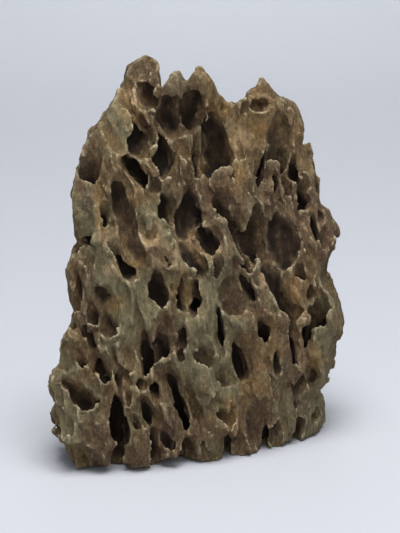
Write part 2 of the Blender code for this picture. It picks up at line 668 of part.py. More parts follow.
def bent_forms(name, forms):
    """One skin round all these ellipsoids, bent by the drift."""
    made = ellipsoids(name, forms)
    move_vertices(made, bent(vertices_of(made)))
    remeshed(made, CUTTER_VOXEL)
    return made


def smooth(thing, rounds):
    """Moves each point half way to the mean of its neighbours, so that blades thinner than a few
    millimetres shrink away."""
    bm = bmesh.new()
    bm.from_mesh(thing.data)
    for _ in range(rounds):
        bmesh.ops.smooth_vert(bm, verts=bm.verts, factor=0.5, use_axis_x=True, use_axis_y=True,
                              use_axis_z=True)
    bm.to_mesh(thing.data)
    bm.free()


def make_stone():
    stone = make_body()
    add_lumps(stone)
    remeshed(stone, BODY_VOXEL)
    scoop_skin(stone)
    tree = skin_tree(stone, vertices_of(stone))
    pockets, lead_ins, lips, taken = face_pockets(tree)
    pockets += alcove_pockets() + other_pockets(taken)
    combine(stone, bent_forms("lead_ins", lead_ins), "DIFFERENCE")
    join_mesh(stone, bent_forms("lips", lips))
    remeshed(stone, STONE_VOXEL)
    combine(stone, outline_block(), "INTERSECT")
    combine(stone, bent_forms("pockets", pockets), "DIFFERENCE")
    remeshed(stone, STONE_VOXEL)
    smooth(stone, THINNING)
    remeshed(stone, STONE_VOXEL)
    keep_largest(stone)
    thin = stone.modifiers.new("fewer faces", "DECIMATE")
    thin.ratio = MOST_TRIANGLES / sum(len(p.vertices) - 2 for p in stone.data.polygons)
    apply_modifiers(stone)
    cut_flat(stone)
    keep_largest(stone)
    return stone


def settle(stone):
    """Turns millimetres into metres, with the origin under the middle of the stone's box."""
    points = vertices_of(stone)
    middle = (points.min(0) + points.max(0)) / 2
    middle[2] = 0.0
    move_vertices(stone, (points - middle) * MM)


def rock_material():
    rock = bpy.data.materials.new("weathered_rock")
    rock.use_nodes = True
    shader = rock.node_tree.nodes["Principled BSDF"]
    shader.inputs["Base Color"].default_value = (0.13, 0.095, 0.06, 1.0)
    shader.inputs["Roughness"].default_value = 0.88
    shader.inputs["Metallic"].default_value = 0.0
    return rock


stone = make_stone()
settle(stone)
stone.data.materials.clear()
stone.data.materials.append(rock_material())
print("triangles:", sum(len(p.vertices) - 2 for p in stone.data.polygons))
print("size, mm:", [round(1000 * d, 1) for d in stone.dimensions])
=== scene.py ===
# %% [markdown]
# # A dragon stone, carved out of a block of numbers
#
# Dragon stone is a clay-rich rock sold for planted tanks. Water took the soft
# clay out of it and left long pockets, thin fins and ragged horns. The stone
# here is one piece, about 30 cm tall, cut flat under its feet.
#
# A surface so full of holes can't be one sheet of points: a sheet has one
# height in each place, and a pocket with an overhanging lip has two. So the
# stone is first a **field**, a number at each point of a block of space that
# is negative inside the rock and positive outside. Lumps are joined to it with
# a soft minimum, pockets are cut from it with a soft maximum, and at the end
# the surface where the field is zero is turned into a mesh.

import json
import math

import bpy
import numpy as np
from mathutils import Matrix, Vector

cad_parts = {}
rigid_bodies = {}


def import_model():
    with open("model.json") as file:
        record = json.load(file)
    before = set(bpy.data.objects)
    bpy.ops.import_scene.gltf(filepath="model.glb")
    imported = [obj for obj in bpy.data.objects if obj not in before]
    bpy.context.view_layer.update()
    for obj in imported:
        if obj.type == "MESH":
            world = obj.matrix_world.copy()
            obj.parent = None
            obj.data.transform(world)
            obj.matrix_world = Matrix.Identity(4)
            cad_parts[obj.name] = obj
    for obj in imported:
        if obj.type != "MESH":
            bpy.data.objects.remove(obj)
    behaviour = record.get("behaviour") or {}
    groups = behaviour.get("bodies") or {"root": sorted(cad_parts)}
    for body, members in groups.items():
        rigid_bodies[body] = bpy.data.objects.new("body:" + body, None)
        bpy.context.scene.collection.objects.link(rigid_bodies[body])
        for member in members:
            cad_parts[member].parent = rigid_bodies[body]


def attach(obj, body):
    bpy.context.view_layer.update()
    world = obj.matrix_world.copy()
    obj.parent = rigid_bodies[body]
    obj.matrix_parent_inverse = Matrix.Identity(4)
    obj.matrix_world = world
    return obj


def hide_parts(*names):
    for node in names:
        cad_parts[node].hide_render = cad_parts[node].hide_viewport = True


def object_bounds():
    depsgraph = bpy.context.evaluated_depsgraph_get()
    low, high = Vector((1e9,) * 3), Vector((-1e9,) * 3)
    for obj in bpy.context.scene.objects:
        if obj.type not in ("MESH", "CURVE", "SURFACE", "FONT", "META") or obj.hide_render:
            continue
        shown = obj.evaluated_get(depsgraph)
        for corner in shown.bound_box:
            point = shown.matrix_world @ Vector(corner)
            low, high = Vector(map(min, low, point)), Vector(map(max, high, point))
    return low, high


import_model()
cad_low, cad_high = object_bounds()
MM = 0.001
print("CAD box, mm:", [round((b - a) / MM) for a, b in zip(cad_low, cad_high)])

# %% [markdown]
# ## The block of space
#
# All shaping is done in millimetres. The block is a little larger than the
# stone, and its points are 1.2 mm apart: that is the finest lip or crack that
# the mesh can hold, and the texture in the material does what is finer.

# %% The block of points
SPACING = 1.2
BLOCK_LOW = np.array([-116.0, -78.0, -6.0])
BLOCK_HIGH = np.array([118.0, 86.0, 304.0])
counts = np.ceil((BLOCK_HIGH - BLOCK_LOW) / SPACING).astype(int) + 1
axes = [(BLOCK_LOW[i] + SPACING * np.arange(counts[i])).astype(np.float32) for i in range(3)]
X = axes[0][:, None, None]
Y = axes[1][None, :, None]
Z = axes[2][None, None, :]
print("block points:", counts, "=", counts.prod())


def sample(values, points):
    """The field at any points: the eight grid values around each, weighted by nearness on each axis."""
    place = (np.asarray(points, float).reshape(-1, 3) - BLOCK_LOW) / SPACING
    place = np.clip(place, 0, counts - 1.001)
    cell = place.astype(int)
    part = place - cell
    total = np.zeros(len(place))
    for corner in np.ndindex(2, 2, 2):
        weight = np.prod(np.where(corner, part, 1 - part), axis=1)
        i, j, k = (cell + corner).T
        total += weight * values[i, j, k]
    return total


# %% [markdown]
# ## Wandering lines
#
# Nothing in the stone is a true ellipse. Before any shape is worked out, the
# coordinates themselves are pushed about by a slow random drift, so every form
# made with them comes out bent. The drift is a coarse lattice of random numbers
# blended with cubic B-splines, which is smooth and costs three small matrix
# products for the whole block.

# %% Drift of the coordinates
def spline_weights(axis_points, cell, start, knots):
    """Rows of the four cubic B-spline weights of each point, on lattice knots that are a cell apart."""
    u = (axis_points - start) / cell
    knot = u.astype(int)
    t = u - knot
    rows = np.zeros((len(u), knots), np.float32)
    weights = [(1 - t) ** 3, 3 * t**3 - 6 * t**2 + 4, -3 * t**3 + 3 * t**2 + 3 * t + 1, t**3]
    for step, weight in enumerate(weights):
        rows[np.arange(len(u)), knot + step] = weight / 6
    return rows


SPREAD = 1.9


def drift(cell, seed):
    """Random numbers on a lattice of the given cell (x, y, z in mm), blended along each axis in turn,
    and times SPREAD, because blending has brought them closer to 0."""
    shape = ((BLOCK_HIGH - BLOCK_LOW) // np.array(cell, float)).astype(int) + 6
    rows = [spline_weights(axes[i], cell[i], BLOCK_LOW[i], shape[i]) for i in range(3)]
    knots = np.random.default_rng(seed).normal(size=shape).astype(np.float32)
    knots = np.tensordot(rows[0], knots, (1, 0))
    knots = np.tensordot(knots, rows[1], (1, 1))
    knots = np.tensordot(knots, rows[2], (1, 1))
    return SPREAD * knots


# mm of drift, its cell in mm and its seed. A folded one, |drift|, makes creases
wx = X + 1.6 * drift((9, 9, 16), 2) + 1.3 * np.abs(drift((7, 7, 12), 7)) - 0.65
wy = Y + 3.0 * drift((30, 30, 42), 3) + 1.6 * drift((9, 9, 16), 4)
wz = Z + 2.0 * drift((28, 28, 34), 5) + 1.8 * drift((10, 10, 16), 6)
wz += 2.1 * np.abs(drift((7, 7, 13), 8)) - 1.05
print("drift: x by up to", round(float(np.abs(wx - X).max()), 1), "mm")

# %% [markdown]
# ## The outline, measured on an upright sheet
#
# Think of a sheet of paper standing through the middle of the stone, looked at
# from a point 1.5 m away and 16 degrees up. What is seen is written down on it
# in millimetres: x to the right, z up from the foot. The outline is four runs
# of points: up the left edge, along the horns, down the right edge, and back
# along the feet.

# %% The outline on the sheet
LOOK_DOWN = math.radians(16)
EYE = np.array([2.0, -1442.0, 550.0])
LEFT_EDGE = [(-92, -21), (-97, -11), (-101, 0), (-110, 8), (-109, 31), (-112, 45), (-109, 57),
             (-103, 63), (-101, 81), (-95, 93), (-92, 104), (-95, 112), (-98, 134), (-94, 142),
             (-89, 158), (-92, 179), (-92, 194), (-88, 212), (-83, 228), (-78, 242),
             (-72, 246), (-64, 258), (-58, 267)]
HORNS = [(-56, 272), (-53, 278), (-50, 288), (-44, 293), (-37, 295), (-31, 293), (-28, 288),
         (-27, 279), (-26, 271), (-22, 276), (-17, 284), (-13, 285), (-10, 277), (-6, 277),
         (1, 289), (6, 283), (12, 275), (15, 268), (20, 262), (27, 260), (34, 263), (36, 269),
         (43, 273), (46, 279), (51, 275), (60, 265), (69, 262), (72, 258)]
RIGHT_EDGE = [(76, 247), (81, 236), (84, 225), (86, 211), (89, 206), (90, 187), (96, 181),
              (102, 172), (107, 155), (100, 148), (98, 138), (101, 125), (105, 115), (110, 98),
              (107, 81), (103, 73), (103, 60), (97, 45), (96, 30), (97, 17), (92, 9)]
BASE_LINE = [(84, 5), (79, 1), (66, 0), (63, -5), (52, -6), (49, -11), (36, -11), (33, -14), (22, -16),
             (0, -15), (-6, -11), (-14, -11), (-22, -14), (-32, -16), (-34, -21), (-51, -21), (-55, -17),
             (-65, -17), (-68, -19)]


def distance_in_outline(points, outline):
    """Signed distance to a closed outline: the least distance to its sides, negative where an odd
    number of sides is crossed on the way out to the right."""
    start = np.array(outline, float)
    side = np.roll(start, -1, axis=0) - start
    nearest = np.full(len(points), 1e9)
    inside = np.zeros(len(points), bool)
    for a, s in zip(start, side):
        out = points - a
        along = np.clip(out @ s / (s @ s), 0, 1)
        nearest = np.minimum(nearest, np.hypot(*(out - along[:, None] * s).T))
        level = (a[1] > points[:, 1]) != (a[1] + s[1] > points[:, 1])
        crossing = a[0] + s[0] * (points[:, 1] - a[1]) / (s[1] if s[1] else 1e-9)
        inside ^= level & (points[:, 0] < crossing)
    return np.where(inside, -nearest, nearest)


sheet_x = np.arange(-130.0, 131.0)
sheet_z = np.arange(-60.0, 321.0)
sheet_points = np.stack(np.meshgrid(sheet_x, sheet_z, indexing="ij"), -1).reshape(-1, 2)
sheet_gap = distance_in_outline(sheet_points, LEFT_EDGE + HORNS + RIGHT_EDGE + BASE_LINE)
sheet_gap = sheet_gap.reshape(len(sheet_x), len(sheet_z)).astype(np.float32)


def on_sheet(x, y, z):
    """Where the line from the eye through a point meets the sheet at y = 0."""
    reach = EYE[1] / (EYE[1] - y)
    return EYE[0] + (x - EYE[0]) * reach, EYE[2] + (z - EYE[2]) * reach


def outline_gap(x, y, z):
    """Distance outside the outline as the eye sees it: the sheet's table read between its points."""
    u, v = on_sheet(x, y, z)
    u = np.clip(u - sheet_x[0], 0, len(sheet_x) - 1.001)
    v = np.clip(v - sheet_z[0], 0, len(sheet_z) - 1.001)
    i, j = u.astype(np.int32), v.astype(np.int32)
    u, v = u - i, v - j
    low = sheet_gap[i, j] * (1 - u) + sheet_gap[i + 1, j] * u
    high = sheet_gap[i, j + 1] * (1 - u) + sheet_gap[i + 1, j + 1] * u
    return low * (1 - v) + high * v


# %% [markdown]
# ## The body
#
# From above the stone is a thick slab with round ends, turned so its right end
# lies further back. Each level is a superellipse, whose left and right reach
# come from the outline and whose thickness comes from a short table. The slab
# gets thinner upwards, so its face leans back.

# %% The body as a field
LEVELS = [0, 60, 130, 152, 170, 200, 262, 300]
FRONT_REACH = [56, 59, 52, 51, 44, 40, 30, 19]
BACK_REACH = [40, 46, 43, 41, 38, 35, 25, 14]
TURN = 0.40
MIDDLE_Y = 12.0
LEAN_BACK = -0.02
ROUNDNESS = 2.5
EDGE_MARGIN = 4.0


def edge_reach(edge, y, heights):
    """The outline's x at real heights: its points are carried from the sheet to depth y, then read
    between."""
    p = np.array(edge, float)
    reach = (EYE[1] - y) / EYE[1]
    x, z = EYE[0] + (p[:, 0] - EYE[0]) * reach, EYE[2] + (p[:, 1] - EYE[2]) * reach
    order = np.argsort(z)
    return np.interp(heights, z[order], x[order])


SOFTEN_MM = 7.0
SOFTEN_STEPS = 12
heights = axes[2]
left = edge_reach(LEFT_EDGE + HORNS[:4], -26.0, heights) - EDGE_MARGIN
right = edge_reach(HORNS[-4:] + RIGHT_EDGE, 26.0, heights) + EDGE_MARGIN
soften = np.exp(-0.5 * (np.arange(-SOFTEN_STEPS, SOFTEN_STEPS + 1) * SPACING / SOFTEN_MM) ** 2)
soften = soften / soften.sum()
left, right = (np.convolve(np.pad(e, SOFTEN_STEPS, "edge"), soften, "valid") for e in (left, right))


def smooth_max(a, b, width):
    """The larger of two fields, with a rounded crease: b + (a - b) h + width h (1 - h), where h goes
    from 0 to 1 while a - b goes from -width to width."""
    h = np.clip(0.5 + 0.5 * (a - b) / width, 0, 1)
    return b + (a - b) * h + width * h * (1 - h)


def smooth_min(a, b, width):
    """The smaller of two fields, with a fillet between them."""
    return -smooth_max(-a, -b, width)


def body_field(x, y, z):
    """((|x|/a)^n + (|y|/b)^n)^(1/n) - 1, divided by its own slope so that it is nearly in mm."""
    l, r = np.interp(z, heights, left), np.interp(z, heights, right)
    middle, half = (l + r) / 2, (r - l) / 2
    y = y - (MIDDLE_Y + LEAN_BACK * z + TURN * (x - middle))
    depth = np.where(y < 0, np.interp(z, LEVELS, FRONT_REACH), np.interp(z, LEVELS, BACK_REACH))
    u, v = np.abs(x - middle) / half, np.abs(y) / depth
    size = (u**ROUNDNESS + v**ROUNDNESS) ** (1 / ROUNDNESS) + 1e-6
    slope = np.hypot(u ** (ROUNDNESS - 1) / half, v ** (ROUNDNESS - 1) / depth)
    slope = slope * size ** (1 - ROUNDNESS)
    return ((size - 1) / np.maximum(slope, 1 / 80)).astype(np.float32)


BODY_TOP = 264.0
TOP_ROUNDING = 10.0
TOP_FALL = 0.5
field = body_field(wx, wy, wz)
top = BODY_TOP - TOP_FALL * np.maximum(wy - MIDDLE_Y, 0)
field = smooth_max(field, wz - top, TOP_ROUNDING)
print("body: thickest", round(max(FRONT_REACH) + max(BACK_REACH)), "mm")

# %% [markdown]
# ## Lumps on the face
#
# Between the pockets the rock stands out in blocks, ribs and feet. Each is an
# ellipsoid, most of it under the skin, joined with a fillet. A row says where
# it is on the sheet, its width and height, how far its foot leans to the
# right, and how far it stands out.

# %% Putting a form on the skin
SOFT_HEAD = 0.08
SIGHT = np.arange(1300.0, 1700.0, 0.5)


def aim(x, z):
    """The first skin point on the line from the eye through a point of the sheet, and the skin's
    outward direction there, from the field's differences."""
    ray = np.array([x, 0.0, z]) - EYE
    ray /= np.linalg.norm(ray)
    points = EYE + SIGHT[:, None] * ray
    gaps = sample(field, points)
    hit = points[np.argmax(gaps < 0) if gaps.min() < 0 else np.argmin(gaps)]
    steps = 3.0 * np.eye(3)
    out = sample(field, hit + steps) - sample(field, hit - steps)
    return hit, out / np.linalg.norm(out), ray


def lie_on(out, lean, tilt):
    """Three directions for a form on the skin: across, through, and along. Along runs down the skin,
    its foot turned to the right by lean and into the rock by tilt, both in degrees."""
    down = np.array([0.0, 0.0, -1.0])
    down = down - out * (down @ out)
    down /= np.linalg.norm(down)
    across = np.cross(out, down)
    across = across if across[0] >= 0 else -across
    lean, tilt = math.radians(lean), math.radians(tilt)
    along = down * math.cos(lean) + across * math.sin(lean)
    along = along * math.cos(tilt) - out * math.sin(tilt)
    across = np.cross(along, out)
    across /= np.linalg.norm(across)
    return np.array([across, np.cross(across, along), along])


def window(centre, reach):
    """The part of the block that holds every point within reach of the centre."""
    first = np.maximum(0, (centre - reach - BLOCK_LOW) / SPACING).astype(int)
    last = np.minimum(counts, (centre + reach - BLOCK_LOW) / SPACING + 2).astype(int)
    return tuple(slice(a, b) for a, b in zip(first, last))


def ellipsoid(offset, radii):
    """k0 (k0 - 1) / k1, where k0 is the offset over the radii and k1 the same over their squares."""
    k0 = np.sqrt(sum((p / r) ** 2 for p, r in zip(offset, radii))) + 1e-6
    k1 = np.sqrt(sum((p / r**2) ** 2 for p, r in zip(offset, radii))) + 1e-6
    return (k0 * (k0 - 1) / k1).astype(np.float32)


def offsets(part, centre, directions):
    """How far each point of a part of the block is from the centre, along three directions."""
    px, py, pz = wx[part] - centre[0], wy[part] - centre[1], wz[part] - centre[2]
    return [px * d[0] + py * d[1] + pz * d[2] for d in directions]


def drifted(point):
    """Where the drift carries a real point, because all forms are worked out in drifted numbers."""
    return np.array([sample(w, point)[0] for w in (wx, wy, wz)])


def add_lump(point, directions, radii, fillet):
    """Joins an ellipsoid to the rock."""
    part = window(point, max(radii) + 10)
    gap = ellipsoid(offsets(part, drifted(point), directions), radii)
    field[part] = smooth_min(field[part], gap, fillet)


FLARE = 0.3


def cut_straight(centre, directions, radii):
    """Cuts an ellipsoid out of the rock. Its width grows by FLARE towards its foot, like a drop, and
    its rim goes from soft at the head to crisp at the foot. The centre is in drifted numbers."""
    part = window(centre, 1.35 * max(radii) + 10)
    across, through, along = offsets(part, centre, directions)
    down = np.clip(along / radii[2], -1, 1)
    gap = ellipsoid((across / (1 + FLARE * down), through, along), radii)
    crease = 0.3 + SOFT_HEAD * min(radii) * np.clip(0.2 - down, 0, 1)
    field[part] = smooth_max(field[part], -gap, crease)


# %% The horns, each a tall ellipsoid on the body's top
HORN_FORMS = [
    # x, y, z of the middle, then the three radii
    (-38, -6, 258, 19, 16, 42), (-55, -12, 244, 16, 14, 30), (-20, -14, 263, 18, 20, 26),
    (2, -6, 262, 17, 20, 29), (47, 24, 248, 14, 14, 34), (64, 31, 238, 16, 15, 30),
    (-40, 12, 240, 13, 12, 26), (-8, 22, 242, 14, 11, 24), (22, 32, 230, 13, 11, 26),
    (52, 46, 228, 13, 10, 26), (-39, -6, 272, 13, 12, 22), (0, -8, 266, 12, 14, 29),
]
for x, y, z, *radii in HORN_FORMS:
    add_lump(np.array([x, y, z], float), np.eye(3), radii, fillet=6)

# %% The lumps
LUMP_THICKNESS = 14.0
LUMPS = [
    # x, z, width, height, lean, rise
    # crown
    (-33, 279, 22, 34, 0, 5), (-17, 277, 18, 14, 0, 4), (2, 276, 20, 14, 0, 4), (53, 252, 14, 22, 10, 4),
    (57, 240, 22, 42, 5, 4), (24, 257, 8, 10, 20, 4), (33, 260, 7, 11, -15, 4), (40, 267, 7, 10, 10, 4),
    (-57, 247, 11, 34, 22, 5), (-18, 238, 34, 7, -18, 7), (-11, 218, 14, 38, 0, 7), (36, 237, 13, 45, 5, 5),
    # shoulders and chest
    (62, 233, 14, 46, 5, 4), (-69, 195, 7, 68, -3, 4), (-61, 214, 10, 20, 10, 5), (20, 197, 30, 44, 3, 6),
    (39, 193, 6, 46, 10, 4), (-34, 174, 28, 38, 15, 6), (-29, 157, 24, 10, -5, 7), (13, 161, 26, 29, 5, 5),
    (41, 160, 8, 40, 10, 4),
    # the zig-zag lip under the chest
    (-69, 164, 22, 8, 20, 4), (-54, 159, 22, 8, -51, 4), (-41, 152, 20, 8, 17, 3), (-26, 160, 22, 8, 25, 4),
    (-9, 166, 19, 8, 16, 5), (11, 171, 26, 8, 10, 4),
    # waist
    (-47, 112, 22, 38, 5, 4), (45, 121, 9, 24, 10, 5), (30, 87, 16, 29, 5, 5), (7, 74, 19, 68, 0, 4),
    (77, 98, 12, 72, 6, 7), (95, 77, 12, 64, -8, 5),
    # hips and feet
    (-51, 66, 22, 35, 3, 6), (-98, 26, 13, 46, 5, 7), (47, 42, 16, 36, 0, 8), (-78, 7, 25, 47, 3, 7),
    (-43, -4, 19, 29, 0, 8), (-25, 24, 12, 38, 12, 5), (6, 36, 16, 40, 5, 5), (12, 8, 22, 40, 3, 8),
    (29, 2, 11, 21, 0, 6), (43, 9, 15, 30, 0, 5), (58, 7, 10, 17, 0, 5), (72, 14, 12, 18, 0, 5),
    (85, 20, 12, 20, 0, 4),
]
for x, z, width, height, lean, rise in LUMPS:
    point, out, ray = aim(x, z)
    radii = (0.58 * width, LUMP_THICKNESS, 0.58 * height)
    add_lump(point + out * (rise - LUMP_THICKNESS), lie_on(out, lean, 0), radii, fillet=8)
print("lumps:", len(LUMPS))

# %% [markdown]
# ## Scooped skin
#
# Even where there is no pocket the skin is a field of shallow scoops that meet
# in sharp ridges, as on a flint or a melting block of ice. A cell pattern does
# just that: scatter one point in each cell, and press the skin in by how near
# the closest point is. Halfway between two points the presses meet in a ridge.
# The cells are twice as tall as wide, because the rock's grain is upright, and
# leans some twelve degrees.

# %% Cells and scoops
GRAIN_DEGREES = 12
GRAIN_LEAN = math.tan(math.radians(GRAIN_DEGREES))


def cell_numbers(ix, iy, iz, seed):
    """A number from 0 to 1023 for each cell, mixed from its three indices."""
    mixed = ix.astype(np.int64) * 73856093 ^ iy.astype(np.int64) * 19349663
    mixed = mixed ^ iz.astype(np.int64) * 83492791 ^ seed * 2654435761
    mixed = (mixed ^ mixed >> 13) * 1274126177
    return (mixed ^ mixed >> 16) & 1023


def nearest_scatter(x, y, z, seed):
    """Squared distance, in cells, to the nearest of the points scattered one to a cell: the least over
    the 27 cells around."""
    scatter = np.random.default_rng(seed).uniform(0.1, 0.9, (1024, 3)).astype(np.float32)
    cell = [np.floor(c).astype(np.int32) for c in (x, y, z)]
    part = [c - i for c, i in zip((x, y, z), cell)]
    least = np.full(x.shape, 9.0, np.float32)
    for near in np.ndindex(3, 3, 3):
        dx, dy, dz = (n - 1 for n in near)
        spot = scatter[cell_numbers(cell[0] + dx, cell[1] + dy, cell[2] + dz, seed)]
        gap = (spot[:, 0] + dx - part[0]) ** 2
        gap += (spot[:, 1] + dy - part[1]) ** 2
        gap += (spot[:, 2] + dz - part[2]) ** 2
        least = np.minimum(least, gap)
    return least


def scoops(x, y, z, width, height, depth, seed):
    """depth (0.36 - d) / 0.3, where d is the squared distance to the nearest scattered point. Close to a
    point the skin is pressed in by 1.2 depth, and where d is over 0.36 it stands out in a ridge."""
    near = nearest_scatter((x + GRAIN_LEAN * z) / width, y / width, z / height, seed)
    return depth * (0.36 - near) / 0.3


def gradient_noise(x, y, z, seed):
    """Noise of random slopes: at each corner of a cell a slope times the offset from it, blended by
    6t^5 - 15t^4 + 10t^3."""
    slopes = np.random.default_rng(seed).normal(size=(1024, 3)).astype(np.float32)
    slopes /= np.linalg.norm(slopes, axis=1, keepdims=True)
    cell = [np.floor(c).astype(np.int32) for c in (x, y, z)]
    part = [(c - i).astype(np.float32) for c, i in zip((x, y, z), cell)]
    ease = [t * t * t * (t * (6 * t - 15) + 10) for t in part]
    total = 0
    for corner in np.ndindex(2, 2, 2):
        slope = slopes[cell_numbers(*(i + c for i, c in zip(cell, corner)), seed)]
        rise = sum(slope[:, a] * (part[a] - corner[a]) for a in range(3))
        for a in range(3):
            rise = rise * (ease[a] if corner[a] else 1 - ease[a])
        total = total + rise
    return 1.6 * total


band = np.abs(field) < 12
bx, by, bz = wx[band], wy[band], wz[band]
grain_x = bx + GRAIN_LEAN * bz
field[band] += scoops(bx, by, bz, 17, 38, 2.8, 31) + scoops(bx, by, bz, 8, 17, 1.2, 32)
field[band] += 4.5 * np.abs(gradient_noise(grain_x / 15, by / 15, bz / 48, 20)) - 1.4
print("skin points pressed in:", int(band.sum()))

# %% Trimming to the outline
field = smooth_max(field, outline_gap(X, Y, Z), 1.5).astype(np.float32)
skin = field.copy()

# %% [markdown]
# ## The pockets
#
# Each pocket is a long ellipsoid, wider at its foot, laid on the skin with its
# foot tilted into the rock, so it is shallow at the top and dark behind a crisp
# lower lip. A deep one also gets a wide shallow bowl that leads into its head,
# and a thin ledge under its foot. A row gives its place on the sheet, its width
# and height as seen, its lean and its depth.

# %% The pockets on the face
POCKETS = [
    # x, z, width, height, lean, depth
    # round the horns
    (-38, 266, 11, 22, 25, 18), (47, 261, 9, 12, 0, 14), (-51, 262, 5, 26, 30, 5),
    (-44, 254, 6, 26, 28, 7),
    (12, 256, 6, 12, 30, 6), (19, 258, 4, 6, 0, 6), (35, 257, 6, 9, 0, 5), (59, 239, 17, 40, 5, 6),
    # shoulders
    (14, 232, 19, 35, 4, 16), (-42, 231, 16, 25, 8, 20), (70, 228, 6, 46, 3, 5), (32, 224, 7, 14, 0, 5),
    (-60, 222, 3, 21, 0, 4), (-25, 220, 12, 29, 8, 22), (66, 220, 9, 23, 0, 6),
    (1, 219, 8, 27, 3, 20), (45, 218, 9, 21, 0, 5), (28, 215, 4, 15, 5, 7), (-15, 213, 6, 15, 0, 3),
    (-77, 209, 15, 52, -8, 6), (-45, 209, 11, 29, 33, 20), (48, 209, 6, 27, -10, 15), (71, 213, 8, 24, 0, 12),
    (-34, 203, 6, 16, 15, 14), (57, 201, 4, 15, 5, 8), (79, 201, 6, 18, 0, 5), (64, 199, 9, 15, 0, 6),
    # chest
    (-5, 194, 9, 30, 5, 5), (6, 194, 7, 24, 0, 4), (-69, 192, 2, 12, 0, 8), (-61, 191, 7, 18, 0, 5),
    (18, 191, 12, 30, 0, 3), (78, 188, 9, 18, 15, 11), (-30, 183, 6, 18, 20, 6), (-20, 182, 9, 24, 5, 16),
    (91, 177, 6, 8, 20, 7), (-41, 174, 6, 18, 10, 5), (-5, 176, 18, 31, 3, 17), (-66, 176, 8, 28, 3, 8),
    (-51, 169, 15, 38, 14, 11), (86, 168, 4, 18, 12, 9), (48, 163, 6, 36, 12, 17), (97, 163, 9, 20, -10, 5),
    (64, 161, 20, 40, 15, 17), (-82, 157, 7, 7, 0, 9), (7, 159, 11, 24, 20, 14), (33, 157, 11, 42, 22, 20),
    # waist
    (-80, 156, 3, 5, 0, 8), (-60, 152, 14, 24, 10, 6), (-6, 149, 16, 31, 18, 12),
    (-21, 140, 2, 11, 20, 5), (16, 140, 9, 18, 5, 4), (77, 140, 7, 21, 5, 4), (-53, 134, 9, 20, 35, 24),
    (-74, 124, 2, 4, 0, 5), (-89, 123, 5, 29, 10, 9), (91, 123, 7, 18, -10, 5), (37, 121, 7, 20, 28, 18),
    (85, 119, 6, 12, 0, 8), (-29, 119, 13, 26, 8, 13), (64, 118, 8, 55, 13, 17), (-70, 115, 7, 15, 25, 12),
    (28, 115, 20, 27, 0, 5), (-12, 111, 4, 14, 3, 15), (96, 109, 7, 9, 0, 6), (-1, 108, 6, 12, 0, 24),
    # hips
    (-79, 102, 9, 18, 0, 9), (-65, 94, 12, 20, 5, 13), (85, 93, 6, 60, 0, 12), (92, 103, 14, 30, 0, 7),
    (17, 90, 5, 29, 4, 16), (-83, 88, 6, 12, 0, 6), (50, 88, 10, 22, 18, 10), (-78, 81, 7, 11, 10, 7),
    (-12, 79, 7, 17, 3, 14), (-25, 78, 12, 27, 5, 9), (72, 77, 5, 33, 12, 15), (-90, 73, 7, 27, 0, 4),
    (-64, 68, 4, 24, 8, 7), (-50, 71, 15, 27, 0, 3), (-30, 71, 4, 14, 5, 14), (-38, 69, 8, 38, 10, 13),
    (6, 69, 12, 18, 0, 3), (-77, 68, 12, 32, 22, 7), (-12, 67, 6, 9, 0, 8), (33, 63, 12, 26, 12, 22),
    # knees
    (59, 60, 4, 14, 5, 12), (19, 53, 10, 14, 0, 4), (87, 53, 6, 12, 0, 8), (-70, 54, 8, 16, 5, 20),
    (-54, 49, 6, 12, 20, 10), (-59, 46, 4, 14, 3, 12), (-42, 45, 9, 10, -40, 12), (68, 45, 2, 3, 0, 5),
    (72, 43, 2, 9, 20, 6), (80, 45, 9, 10, 0, 15), (-88, 42, 10, 34, 38, 18), (-31, 41, 7, 15, 5, 15),
    (77, 39, 4, 4, 0, 9), (-74, 33, 3, 5, 0, 6), (7, 30, 12, 24, 10, 3),
    # feet
    (74, 29, 4, 6, 0, 8), (-12, 28, 8, 46, 16, 22), (92, 24, 7, 11, 0, 7),
    (27, 22, 4, 12, 0, 5), (-38, 25, 7, 20, 12, 10), (23, 19, 6, 15, 5, 12), (-46, 15, 4, 12, 0, 7),
    (-58, 11, 15, 38, 5, 26), (43, 10, 14, 24, 5, 4), (-32, 4, 7, 14, 0, 7),
    (-22, 1, 7, 18, 20, 12), (-60, -14, 11, 24, 0, 18), (-31, -9, 8, 22, 5, 15), (-8, -8, 12, 20, 0, 14),
    (23, -5, 6, 22, 0, 13), (36, -2, 6, 26, 0, 16), (52, 2, 7, 24, 0, 18), (65, 6, 7, 22, 0, 16),
    (79, 11, 6, 20, 0, 12),
]


DEEPER_THAN = 6
DEEP_TILT, SHALLOW_TILT = 28, 14
FITS = 6
SUNK = 0.18  # of the depth, from the skin to the middle
THROUGH_DEPTH, THROUGH_WIDTH = 0.72, 0.28


def seen_share(direction, ray):
    """How much of a length laid along a direction is left when it is seen along the ray: the length of
    the direction's part square to the ray, and a half at least."""
    return max(0.5, np.linalg.norm(direction - ray * (direction @ ray)))


def pocket_form(out, width, height, lean, depth):
    """Directions, radii and sunk depth of the ellipsoid whose mouth on the skin is width by height. A
    deep one has its foot tilted further into the rock. The mouth's height is the ellipsoid's chord
    along the skin. The long radius is set again a few times, by the height over that chord to the
    power 0.9, until the mouth is as tall as asked or the radius is 1.1 of it."""
    tilt = DEEP_TILT if depth > DEEPER_THAN else SHALLOW_TILT
    directions = lie_on(out, lean, tilt)
    sunk = SUNK * depth
    through = max(THROUGH_DEPTH * depth, THROUGH_WIDTH * width)
    slope_in, slope_up = math.sin(math.radians(tilt)), math.cos(math.radians(tilt))
    along = 0.56 * height
    for _ in range(FITS):
        reach = math.hypot(along * slope_in, through * slope_up)
        open_share = math.sqrt(max(0.15, 1 - (sunk / reach) ** 2))
        mouth = 2 * open_share / math.hypot(slope_up / along, slope_in / through)
        along = min(along * (height / mouth) ** 0.9, 1.1 * height)
    return directions, (0.5 * width / open_share, through, along), sunk


